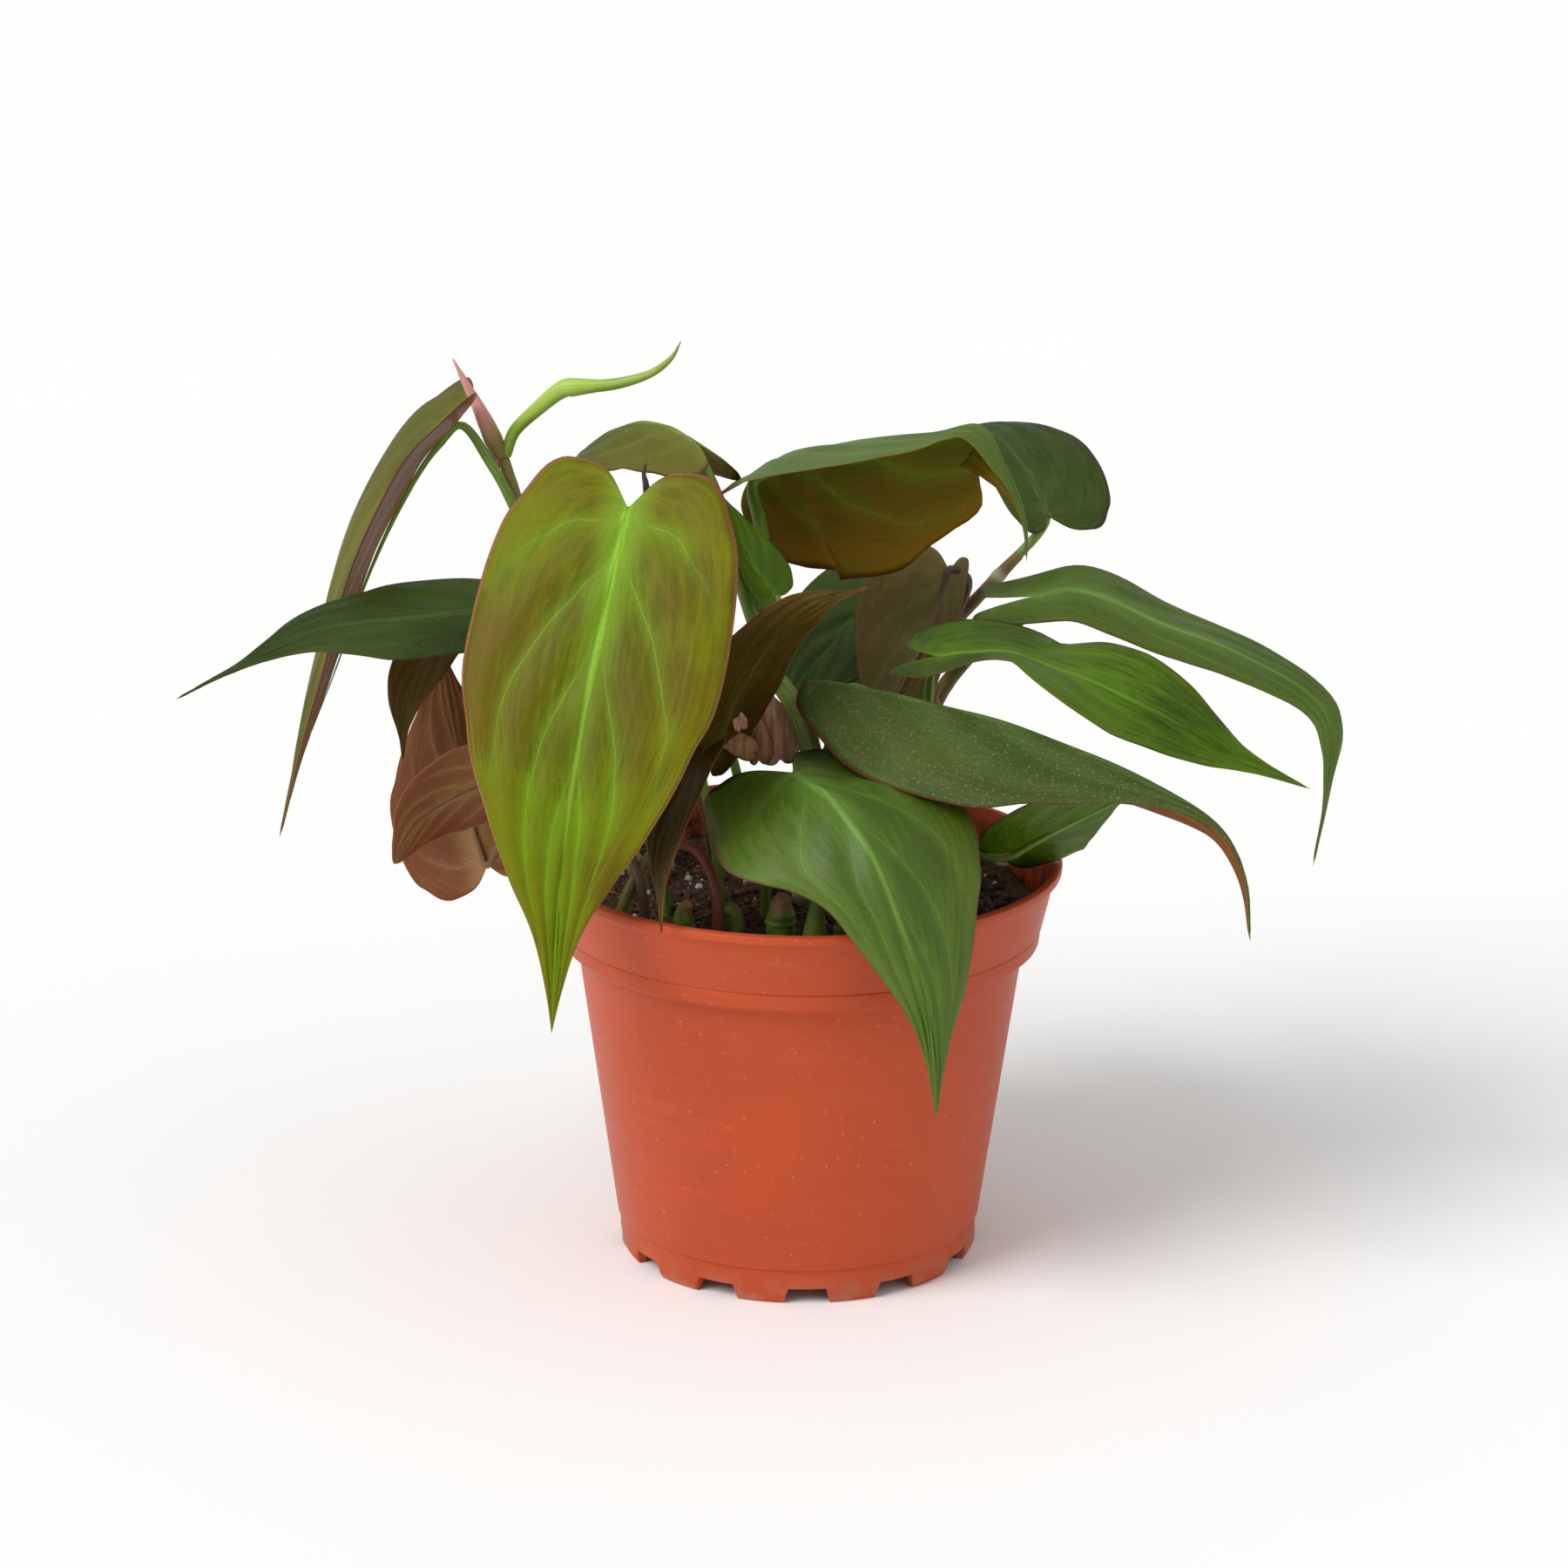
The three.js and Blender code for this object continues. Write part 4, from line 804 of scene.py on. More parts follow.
WIDEST_BLADE = 58     # millimetres across, where the quilting is as deep as the settings say
RIB_STEPS = 120
STALK_STEPS = 110
ARRIVAL_STEP = 8      # the step of the midrib where the petiole has turned in under the blade
RIB_DEPTH = 0.35      # how far the midrib's middle lies under the blade at the tip
RIB_LOWERING = 0.75   # what is added to that at the joint, against the petiole's radius
RIB_TAPER = 1.4       # a power that thins the midrib towards the tip
# Radii against the petiole's own, at its foot, where it becomes the midrib, and at the tip.
FOOT_GIRTH, MIDRIB_GIRTH, TIP_GIRTH = 1.25, 0.62, 0.06


def rib_of(leaf):
    """A leaf's midrib and the way its upper side looks at each point of it."""
    path = smooth_path([at(p) for p in leaf["rib"]], RIB_STEPS)
    faces = [Vector(f) for f in leaf["faces"]]
    ups = []
    for i, heading in enumerate(headings(path)):
        up = along(faces, i / (RIB_STEPS - 1))
        ups.append((up - heading * up.dot(heading)).normalized())
    return path, ups


def make_blade(name, leaf, seed, settings):
    path, ups = rib_of(leaf)
    length = path_length(path)
    slim, waist = leaf["slim"], leaf["waist"]
    piece = grown(
        "leaf_" + name, path_mesh(name, path, face_up=ups), TREES["blade"],
        Left_width=leaf["half"][0] * MM, Right_width=leaf["half"][1] * MM,
        Left_fold=math.radians(leaf["fold"][0]), Right_fold=math.radians(leaf["fold"][1]),
        Left_slimness=slim[0], Right_slimness=slim[1], Left_waist=waist[0], Right_waist=waist[1],
        Margin_rise=leaf["rise"] * MM, Lobe_reach=float(leaf["lobes"]), Length=length,
        Thickness=settings.thickness, Quilting=settings.quilting * sum(leaf["half"]) / WIDEST_BLADE,
        Wave=leaf["wave"] * MM,
        Rows=settings.rows, Columns=settings.columns, Seed=seed * 1.7,
        Upper_skin=leaf_skin(leaf["top"]), Underside=leaf_skin(leaf["under"]))
    return placed(piece, leaf["slot"] + "_leaf", "blade_" + name)


def petiole_route(leaf):
    if "vine" in leaf:
        start = along(smooth_path(VINES[leaf["vine"]]["points"], 200), leaf["share"])
    else:
        start = (*leaf["foot"], -ROOT_DEPTH)
    return [tuple(start), *leaf["via"]]


def make_petiole(name, leaf, girth):
    """A leaf's stalk, which runs on under the blade as its midrib and thins out at the tip."""
    path, ups = rib_of(leaf)
    under = [(p - u * (RIB_DEPTH + RIB_LOWERING * girth * (1 - i / RIB_STEPS) ** RIB_TAPER) * MM - CROWN) / MM
             for i, (p, u) in enumerate(zip(path, ups))]
    approach = smooth_path([*petiole_route(leaf), under[0], under[ARRIVAL_STEP]], 60)
    stretch = path_length(approach)
    inner = path_length(under[ARRIVAL_STEP:])
    run = [*approach, *under[ARRIVAL_STEP + 4:RIB_STEPS - 6:6]]
    joint = stretch / (stretch + inner)
    radii = []
    for i in range(STALK_STEPS):
        share = i / (STALK_STEPS - 1)
        if share < joint:
            neck = share / joint
            foot = FOOT_GIRTH - 0.35 * min(1, neck * 3)
            radii.append(girth * foot * (1 - 0.25 * max(0, neck - 0.6) / 0.4))
        else:
            beyond = (share - joint) / (1 - joint)
            radii.append(girth * max(TIP_GIRTH, MIDRIB_GIRTH * (1 - beyond) ** RIB_TAPER))
    brown = leaf["slot"] == "bronze_brown"
    skin = stalk_skin("petiole_brown_skin", "#6f4a28", "#4a2c18", "#8c6a3c") if brown \
        else stalk_skin("petiole_green_skin", "#5e7c18", "#4c6410", "#80a034")
    piece = stalk("stalk_" + name, run, radii, skin, sides=12, steps=STALK_STEPS, uneven=0.04)
    return placed(piece, "brown_stem" if brown else "green_stem", "petiole_" + name)


# ---- The pot ------------------------------------------------------------------------------------------
# Millimetres, from the axis or up from what the pot stands on.
FOOT_RADIUS = 37.2
WALL = 1.1
BAND_HEIGHT = 17
BAND_RADIUS = RIM_RADIUS - 4.1
BODY_TOP_RADIUS = BAND_RADIUS - 3.6
LIP_HEIGHT = 2.4
LEDGE_HEIGHT = 7.4
FLOOR_HEIGHT = 3.8
NOTCH_HEIGHT = 3.4
FOOT_COUNT = 12
FIRST_FOOT = -102
SLOT_INNER, SLOT_OUTER = FOOT_RADIUS - 10.5, FOOT_RADIUS - 4.5
BAND_BOTTOM = POT_HEIGHT - BAND_HEIGHT
SHOULDER = BAND_BOTTOM - 2.5     # where the body starts to step out to the band
PARTING = BAND_BOTTOM + 3.4      # the fine line left by the mould
LEDGE = 1.5                      # how far the body stands out past the feet
SKIRT = 0.9                      # how far the skirt round the feet stands out
SKIRT_WALL = 1.6
# Degrees from the middle of a gap between two feet: the slot's edges, the notch's slanted sides, the foot.
STATIONS = [-12, -9.7, -7.4, -6.0, -3.4, 0, 3.4, 6.0, 7.4, 9.7, 12, 15]
OUTSIDE_RINGS = 19  # the profile's points from the feet up and over the lip
NOTCH_STATIONS = 6.0
SLOT_STATIONS = 3.4


def body_radius(z):
    share = (z - LEDGE_HEIGHT) / (BAND_BOTTOM - LEDGE_HEIGHT)
    return FOOT_RADIUS + LEDGE + share * (BODY_TOP_RADIUS - FOOT_RADIUS - LEDGE)


def pot_profile(lift):
    """The pot's closed profile, outside up and inside down, with the skirt's edge raised by lift."""
    lip = POT_HEIGHT - LIP_HEIGHT
    skirt = FOOT_RADIUS + SKIRT
    low = max(lift, 0)
    outside = [
        (FOOT_RADIUS + 0.25 * lift, low), (skirt, max(1.5, low + 0.3)), (skirt, LEDGE_HEIGHT),
        (body_radius(LEDGE_HEIGHT), LEDGE_HEIGHT + 0.4), (body_radius(BAND_BOTTOM - 12), BAND_BOTTOM - 12),
        (body_radius(SHOULDER), SHOULDER), (BAND_RADIUS - 1.4, BAND_BOTTOM - 0.8),
        (BAND_RADIUS - 0.5, BAND_BOTTOM), (BAND_RADIUS - 0.15, PARTING - 0.45),
        (BAND_RADIUS - 0.3, PARTING - 0.25), (BAND_RADIUS - 0.3, PARTING - 0.05),
        (BAND_RADIUS + 0.1, PARTING + 0.15), (RIM_RADIUS - 1.7, lip - 1), (RIM_RADIUS - 0.9, lip + 0.1),
        (RIM_RADIUS - 0.1, lip + 0.6), (RIM_RADIUS, POT_HEIGHT - 0.7), (RIM_RADIUS - 0.15, POT_HEIGHT - 0.25),
        (RIM_RADIUS - 0.6, POT_HEIGHT),
    ]
    inside = [
        (RIM_RADIUS - 1.7, POT_HEIGHT), (RIM_RADIUS - 2.0, POT_HEIGHT - 0.3),
        (RIM_RADIUS - 1.7 - WALL, lip - 1), (BAND_RADIUS - WALL, PARTING),
        (BAND_RADIUS - 0.5 - WALL, BAND_BOTTOM + 0.4), (body_radius(SHOULDER) - WALL, BAND_BOTTOM - 2.1),
        (body_radius(LEDGE_HEIGHT) - WALL, LEDGE_HEIGHT + 0.6), (FOOT_RADIUS - WALL, FLOOR_HEIGHT + WALL),
        (SLOT_OUTER, FLOOR_HEIGHT + WALL), (SLOT_INNER, FLOOR_HEIGHT + WALL),
    ]
    below = [
        (SLOT_INNER, FLOOR_HEIGHT), (SLOT_OUTER, FLOOR_HEIGHT), (FOOT_RADIUS - SKIRT_WALL, FLOOR_HEIGHT),
        (FOOT_RADIUS - SKIRT_WALL, low),
    ]
    return outside + inside, below


def make_pot(settings):
    """The moulded pot: one closed wall round the axis, with notches between its feet and drain slots."""
    offsets = [FIRST_FOOT + (i + 0.5) * 360 / FOOT_COUNT + s for i in range(FOOT_COUNT) for s in STATIONS]
    places = [s for _ in range(FOOT_COUNT) for s in STATIONS]
    shell = bmesh.new()
    inner_wall = shell.verts.layers.float.new("inner_wall")
    columns = []
    for angle, place in zip(offsets, places):
        upper, below = pot_profile(NOTCH_HEIGHT if abs(place) <= NOTCH_STATIONS else 0)
        turn = math.radians(angle)
        columns.append([shell.verts.new((AXIS.x + r * MM * math.cos(turn), AXIS.y + r * MM * math.sin(turn),
                                         z * MM)) for r, z in upper + below])
        for vert in columns[-1][OUTSIDE_RINGS:]:
            vert[inner_wall] = 1
    count, upper_count, rings = len(columns), len(upper), len(upper + below)
    floor_top = shell.verts.new((AXIS.x, AXIS.y, (FLOOR_HEIGHT + WALL) * MM))
    floor_low = shell.verts.new((AXIS.x, AXIS.y, FLOOR_HEIGHT * MM))
    top_slot, low_slot = upper_count - 2, upper_count
    for i in range(count):
        here, following = columns[i], columns[(i + 1) % count]
        in_slot = abs(places[i]) <= SLOT_STATIONS and abs(places[(i + 1) % count]) <= SLOT_STATIONS
        for k in range(rings):
            after = (k + 1) % rings
            if k == upper_count - 1 or (in_slot and k in (top_slot, low_slot)):
                continue
            shell.faces.new((here[k], following[k], following[after], here[after]))
        shell.faces.new((here[upper_count - 1], following[upper_count - 1], floor_top))
        shell.faces.new((following[upper_count], here[upper_count], floor_low))
        if in_slot:
            outer, inner, low_inner, low_outer = top_slot, top_slot + 1, low_slot, low_slot + 1
            shell.faces.new((here[outer], following[outer], following[low_outer], here[low_outer]))
            shell.faces.new((here[low_inner], following[low_inner], following[inner], here[inner]))
            if abs(places[i]) == SLOT_STATIONS:
                shell.faces.new((here[outer], here[low_outer], here[low_inner], here[inner]))
            if abs(places[(i + 1) % count]) == SLOT_STATIONS:
                shell.faces.new((following[inner], following[low_inner],
                                 following[low_outer], following[outer]))
    bmesh.ops.recalc_face_normals(shell, faces=shell.faces)
    mesh = bpy.data.meshes.new("nursery_pot")
    shell.to_mesh(mesh)
    shell.free()
    mesh.materials.append(pot_plastic(settings.plastic, settings.dust))
    mesh.polygons.foreach_set("use_smooth", [True] * len(mesh.polygons))
    piece = shown("nursery_pot", mesh)
    rounding = piece.modifiers.new("Rounded edges", "BEVEL")
    rounding.width, rounding.segments = settings.rounding, 3
    rounding.limit_method, rounding.angle_limit = "ANGLE", math.radians(32)
    settled(piece)
    piece.data.set_sharp_from_angle(angle=math.radians(38))
    placed(piece, "terracotta_plastic", "pot")


# ---- The soil -----------------------------------------------------------------------------------------
SOIL_DROP = 0.9                              # from the crown to the middle of the soil's face
MOUND_FALL, MOUND_RADIUS = 1.0, 50           # how much lower the face is at that radius
SOIL_RADIUS = BAND_RADIUS - WALL - 0.2
SQUARE_CENTIMETRES = 10000.0                 # in a square metre
STREWN_RADIUS = BAND_RADIUS - WALL - 4.2     # crumbs and chips lie within it
SOIL_GAP = 0.4                               # between the buried soil and the pot's wall


def soil_height(x, y):
    """The soil's surface in millimetres from its crown: a low mound with crumbs and hollows."""
    r = math.hypot(x, y)
    place = Vector((x, y, 0))
    lumps = noise.fractal(place * 0.11, 0.7, 2.2, 5) * 1.1 + noise.fractal(place * 0.5, 0.8, 2.1, 3) * 0.35
    return -SOIL_DROP - MOUND_FALL * (r / MOUND_RADIUS) ** 2 + lumps


def make_ground(name, radius, rings, sides, closed):
    """The soil's face out to a radius, and the ball of soil under it where it is closed."""
    ground = bmesh.new()
    middle = ground.verts.new(at((0, 0, soil_height(0, 0))))
    loops = []
    for i in range(1, rings + 1):
        r = radius * i / rings
        loops.append([ground.verts.new(at((r * math.cos(a), r * math.sin(a), soil_height(r * math.cos(a),
                                                                                      r * math.sin(a)))))
                      for a in (k / sides * 2 * math.pi for k in range(sides))])
    if closed:
        reach = WALL + SOIL_GAP
        for r, z in [(BAND_RADIUS - 1 - reach, BAND_BOTTOM + 1),
                     (body_radius(SHOULDER) - reach, BAND_BOTTOM - 2.1),
                     (body_radius(LEDGE_HEIGHT) - reach, LEDGE_HEIGHT + 1),
                     (FOOT_RADIUS - reach - 0.4, FLOOR_HEIGHT + WALL + 0.3)]:
            loops.append([ground.verts.new(at((r * math.cos(a), r * math.sin(a), z - FLOOR_DEPTH)))
                          for a in (k / sides * 2 * math.pi for k in range(sides))])
    for k in range(sides):
        after = (k + 1) % sides
        ground.faces.new((middle, loops[0][k], loops[0][after]))
        for inner, outer in zip(loops, loops[1:]):
            ground.faces.new((inner[k], outer[k], outer[after], inner[after]))
    if closed:
        base = ground.verts.new(at((0, 0, FLOOR_HEIGHT + WALL + 0.3 - FLOOR_DEPTH)))
        for k in range(sides):
            ground.faces.new((base, loops[-1][(k + 1) % sides], loops[-1][k]))
    mesh = bpy.data.meshes.new(name)
    ground.to_mesh(mesh)
    ground.free()
    mesh.polygons.foreach_set("use_smooth", [True] * len(mesh.polygons))
    return mesh


def lump(name, sides, seed, squareness=0.35):
    """A small broken lump, a unit across."""
    rng = random.Random(seed)
    shape = bmesh.new()
    bmesh.ops.create_icosphere(shape, subdivisions=sides, radius=0.5)
    for vert in shape.verts:
        vert.co *= 1 + squareness * (rng.random() - 0.5) * 2
    mesh = bpy.data.meshes.new(name)
    shape.to_mesh(mesh)
    shape.free()
    return shown(name, mesh)


def make_fibre(name):
    """A thin bent root, a unit long."""
    path = smooth_path([(-0.5, 0, 0), (-0.2, 0.12, 0.08), (0.1, -0.06, 0.12), (0.5, 0.08, 0)], 9)
    mesh = path_mesh(name, path, girth=[0.025, 0.03, 0.03, 0.028, 0.028, 0.025, 0.02, 0.015, 0.01],
                     joint=[0.0] * 9)
    return grown(name, mesh, TREES["stalk"], Sides=4, Unevenness=0.0)


def make_soil(settings):
    mesh = make_ground("potting_soil", SOIL_RADIUS, 70, 140, True)
    mesh.materials.append(crumbly("soil_face", "#2a190c", "#5c4226", 900))
    placed(shown("potting_soil", mesh), "potting_soil", "soil")
    shapes = {"crumb": lump("crumb", 2, 3), "chip": lump("chip", 1, 5, 0.5),
              "grain": lump("grain", 2, 8, 0.22), "fibre": make_fibre("fibre")}
    dark = crumbly("soil_crumb", "#34200f", "#72502e", 1200)
    bark = crumbly("bark_chip", "#5e3a1c", "#ac7a46", 700)
    white = crumbly("perlite", "#b8ae9c", "#e8e2d4", 900, 0.9, 0.5)
    straw = crumbly("root_fibre", "#5a3c20", "#a07c4c", 900)
    # Name, shape, skin, how many, smallest and largest in millimetres, flatness, tilt, sink and seed.
    strewn = [
        ("soil_crumbs", "crumb", dark, settings.crumbs, 0.8, 3.6, 0.75, 3.1, 0.1, 11),
        ("bark_chips", "chip", bark, settings.bark, 1.6, 5.5, 0.32, 0.5, 0.1, 23),
        ("perlite_grains", "grain", white, settings.perlite, 0.7, 2.9, 0.85, 3.1, 0.05, 37),
        ("root_fibres", "fibre", straw, settings.fibres, 4.0, 13.0, 1.0, 0.35, -0.08, 41),
    ]
    for name, shape, skin, density, low, high, flat, tilt, sink, seed in strewn:
        ground = make_ground(name, STREWN_RADIUS, 24, 60, False)
        piece = grown(name, ground, TREES["scatter"], Shape=shapes[shape],
                      Density=density * SQUARE_CENTIMETRES, Smallest=low * MM, Largest=high * MM,
                      Flatness=flat, Tilt=tilt, Sink=sink, Seed=seed, Finish=skin)
        placed(piece, "potting_soil")
    for shape in shapes.values():
        bpy.data.objects.remove(shape)


# ---- Vines, stumps and new growth ---------------------------------------------------------------------
def vine_skin(kind):
    if kind == "green":
        return stalk_skin("vine_green_skin", "#5c7216", "#485c0e", "#8ea042", 0.45)
    return stalk_skin("vine_brown_skin", "#7c6028", "#6a3c1e", "#8a8038", 0.5)


LOWEST_JOINT = 0.17  # the share of a vine's length at its joint just over the soil


def make_vine(name, vine, girth):
    joints = sorted({LOWEST_JOINT, *(leaf["share"] for leaf in LEAVES.values() if leaf.get("vine") == name)})
    radius = vine["radius"] * girth
    girths = [radius * 1.05, radius, radius, radius * 0.9, radius * 0.72]
    piece = stalk(name + "_vine", vine["points"], girths, vine_skin(vine["skin"]), sides=20, steps=160,
                  joints=joints, uneven=0.12)
    placed(piece, vine["skin"] + "_stem", name)


# Where each stump stands, its height and its radius.
STUMPS = {"stub_front": ((-4, -28), 8, 2.7), "stub_left": ((-24, -27), 6, 2.1),
          "stub_right": ((9, -25), 5, 1.9)}


def stump_skin():
    """A cut vine: dark green below, dried brown at the cut."""
    tree, material = Tree.of_material("stump_skin")
    place = object_place(tree)
    run = tree.split(attribute(tree, "stalk_place"))[0]
    broad = tree.cloud(place, 240, 3)
    colour = tree.mix(tree.ramp(broad, 0.35, 0.65), tint("#4e6a12"), tint("#7a942c"))
    dried = tree.ramp(run + broad * 4 * MM, 17.5 * MM, 20.5 * MM)
    colour = tree.mix(dried, colour, tint("#a0784a"))
    surface(tree, colour, tree.ramp(broad, 0.3, 0.7, 0.4, 0.6), broad, 0.6, 0.0006, Sheen_Weight=0.05)
    return material


def make_stumps():
    skin = stump_skin()
    for name, ((x, y), height, radius) in STUMPS.items():
        rim = radius * 1.12
        piece = stalk(name + "_piece", [(x, y, -ROOT_DEPTH), (x, y, height - 2), (x + 0.6, y - 0.4, height)],
                      [radius, radius, radius * 1.02, rim, rim * 0.96, rim * 0.55], skin, sides=20, steps=70,
                      joints=[0.72], uneven=0.3, swell=0.12)
        placed(piece, "green_stem", name)


def rolled_skin():
    """The unopened leaf: bright green, with the brown edge of the roll winding along it."""
    tree, material = Tree.of_material("rolled_leaf_skin")
    place = object_place(tree)
    run, turn, _ = tree.split(attribute(tree, "stalk_place"))
    broad = tree.cloud(place, 90, 2)
    colour = tree.mix(tree.ramp(broad, 0.35, 0.65), tint("#84a62e"), tint("#a4c24c"))
    seam = tree.calc("PINGPONG", turn + run * 9 + 0.2, 0.5)
    colour = tree.mix(tree.ramp(seam, 0.02, 0.07, 0.9, 0), colour, tint("#8a5a30"))
    tip = tree.ramp(run, 28 * MM, 50 * MM)
    colour = tree.mix(tip * 0.6, colour, tint("#8a7a3c"))
    surface(tree, colour, tree.ramp(broad, 0.3, 0.7, 0.35, 0.5), broad + seam, 0.3, 0.0004, Sheen_Weight=0.1)
    return material


def bud_skin():
    """The sheath of the next leaf: pale green-brown at its foot, pink to the tip."""
    tree, material = Tree.of_material("bud_sheath_skin")
    run, turn, _ = tree.split(attribute(tree, "stalk_place"))
    streaks = tree.cloud(tree.join(turn * 12, run * 80, 0.0), 2, 3)
    colour = tree.mix(tree.ramp(run, 2 * MM, 13 * MM), tint("#8a7a3a"), tint("#dd9a8c"))
    colour = tree.mix(tree.ramp(streaks, 0.45, 0.75) * 0.5, colour, tint("#b4705c"))
    surface(tree, colour, tree.ramp(streaks, 0.3, 0.7, 0.38, 0.55), streaks, 0.4, 0.0003, Sheen_Weight=0.1)
    return material


def make_shoot():
    x, y, z = VINES["stem_left"]["points"][-1]
    bud = stalk("bud_sheath_piece", [(x - 0.6, y - 0.3, z + 0.4), (x - 1.4, y - 0.6, z + 2.6),
                                     (x - 4, y - 1.5, z + 9), (x - 10, y - 3, z + 21.5)],
                [1.7, 2.0, 1.75, 1.35, 0.95, 0.6, 0.12], bud_skin(), sides=18, steps=70)
    placed(bud, "pink_sheath", "bud_sheath")
    leaf = stalk("rolled_leaf_piece",
                 [(x + 0.6, y - 0.1, z + 0.6), (x + 2.4, y - 0.8, z + 5.6), (x + 6.5, y - 1.6, z + 10),
                  (x + 13.1, y - 3.6, z + 15.6), (x + 15.4, y - 4.2, z + 16), (x + 24, y - 6, z + 17.2),
                  (x + 31.5, y - 8, z + 20), (x + 35.6, y - 9.4, z + 23.6), (x + 37.4, y - 10, z + 27)],
                 [1.2, 1.3, 1.45, 1.7, 2.0, 1.35, 1.15, 0.9, 0.65, 0.1], rolled_skin(), sides=20, steps=110)
    placed(leaf, "bright_green_leaf", "rolled_leaf")


RING_MIDDLE, RING_RADIUS, RING_THICKNESS = (43, 2, 8), 3.2, 0.6
RING_POINTS, RING_TURN, RING_SHIFT = 13, 300, 0.2  # its turn in degrees, and its shift back at each point


def make_air_root():
    x, y, z = RING_MIDDLE
    points = []
    for i in range(RING_POINTS):
        turn = math.radians(i / (RING_POINTS - 1) * RING_TURN)
        points.append((x + RING_RADIUS * math.cos(turn), y + RING_SHIFT * i,
                       z + RING_RADIUS * math.sin(turn)))
    skin = stalk_skin("air_root_skin", "#9aa478", "#7d8458", "#c4caa4", 0.35)
    root = stalk("curled_air_root", points, [RING_THICKNESS] * 5 + [0.2], skin, sides=12, steps=60)
    placed(root, "green_stem", "air_root")


# Dried sheaths that clasp the stalks: the middle line from foot to tip, the half width, how far the sides are
# folded forwards, the way the outer face looks, and the kind.
SHEATHS = {
    "clasping_sheath": ([(-4.5, -7, 31), (-5.2, -6.4, 38), (-7.4, -5.6, 47)], 5.2, -28, (0.1, -1, 0.1),
                        "pink"),
    "outer_sheath": ([(-9, -8, 31), (-9.8, -7.6, 37), (-10.6, -7, 44)], 3.4, -28, (-0.2, -1, 0.1), "brown"),
    "left_sheath": ([(-10, -12, 34), (-14.5, -12.6, 36.4), (-20.5, -12.6, 36.2)], 2.8, -20, (0, -1, 0.35),
                    "brown"),
    "sheath_scrap": ([(-12.6, -13.6, 39.6), (-13.6, -14, 42.6), (-15.4, -14.2, 44.4)], 1.7, 20,
                     (0.2, -1, 0.1), "pink"),
    "node_sheath": ([(27.5, 9.2, 35), (27.6, 9, 39), (28.6, 8.8, 43)], 2.0, -45, (-0.2, -1, 0.1), "brown"),
    "shoot_sheath": ([(-63.5, 17.2, 87), (-64, 16.6, 90), (-65, 16.2, 93.5)], 1.7, -45, (0, -1, 0.1), "pink"),
}

# Thin bits between the stalks: the route, the radii along it, main and dark colours, and the slot.
TWIGS = {
    "bent_brown_petiole": ([(-27.5, -24, 9), (-27.6, -24.5, 15), (-25.4, -25, 18), (-21.6, -26, 17.2),
                            (-18.9, -28.5, 14), (-17.3, -32, 10.4), (-16.9, -33.5, 3), (-16.9, -33.5, -3)],
                           [1.0, 1.15, 1.2, 1.25, 1.35], "#7a3c28", "#522a1c", "brown_stem"),
    "left_petiole": ([(-29.5, -22, 17), (-33, -25, 12.6), (-36, -27, 7), (-37.6, -26.5, -3)], [1.1, 1.2, 1.3],
                     "#6a6a26", "#4c4018", "green_stem"),
    "crossing_petiole": ([(-36.4, -22, 19.6), (-34.6, -25, 14.6), (-32.6, -28, 9), (-31.6, -28, -3)],
                         [0.9, 1.0, 1.2], "#6a4c22", "#46301a", "brown_stem"),
    "curled_sprout": ([(-13.2, -31.5, -3), (-13, -32, 3.6), (-14.2, -32.3, 6.4), (-16, -32, 6),
                       (-16.2, -31.5, 3.4)], [1.3, 1.4, 1.5, 1.4, 0.7], "#647822", "#4c5618", "green_stem"),
    "front_sprout": ([(2.8, -34, -3), (2.9, -34.6, 4), (3.4, -34.4, 9), (4.6, -33, 17)],
                     [2.3, 2.5, 1.7, 1.3, 1.1], "#6c8024", "#56641e", "green_stem"),
    "dry_tip": ([(-31.7, -19, 89), (-32, -20, 92.5), (-32.4, -20.2, 94.6), (-31.9, -20.4, 96.8)],
                [0.8, 0.7, 0.5, 0.15], "#3a2414", "#20120a", "brown_stem"),
}


def make_sheath(name):
    points, half, fold, face, kind = SHEATHS[name]
    path = smooth_path([at(p) for p in points], 40)
    skin = papery("dry_sheath_skin", "#a67c48", "#7c5230") if kind == "brown" \
        else papery("pink_sheath_skin", "#c4967a", "#9a6a48")
    length = path_length(path)
    piece = grown(name, path_mesh(name, path, face_up=[Vector(face)] * len(path)), TREES["blade"],
                  Left_width=half * MM, Right_width=half * MM, Left_fold=math.radians(fold),
                  Right_fold=math.radians(fold), Length=length, Thickness=0.25 * MM, Quilting=0.1 * MM,
                  Wave=0.9 * MM, Rows=30, Columns=16, Seed=half, Upper_skin=skin, Underside=skin)
    placed(piece, "pink_sheath")


def make_twig(name):
    points, radii, main, dark, slot = TWIGS[name]
    skin = stalk_skin(name + "_skin", main, dark, main, 0.45)
    placed(stalk(name, points, radii, skin, sides=12, steps=48, uneven=0.12), slot)


# ---- The user's settings ------------------------------------------------------------------------------
def colour_property(name, code, description):
    return bpy.props.FloatVectorProperty(name=name, description=description, subtype="COLOR", min=0, max=1,
                                         default=paint(code))


class PotSettings(bpy.types.PropertyGroup):
    plastic: colour_property("Plastic", "#bb4c26", "Colour of the moulded plastic")
    dust: bpy.props.FloatProperty(name="Dust", description="How dusty the feet are", default=0.55, min=0,
                                  max=1, subtype="FACTOR")
    rounding: bpy.props.FloatProperty(name="Rounding", description="Width of the rounding on moulded edges",
                                      default=0.22 * MM, min=0, unit="LENGTH")


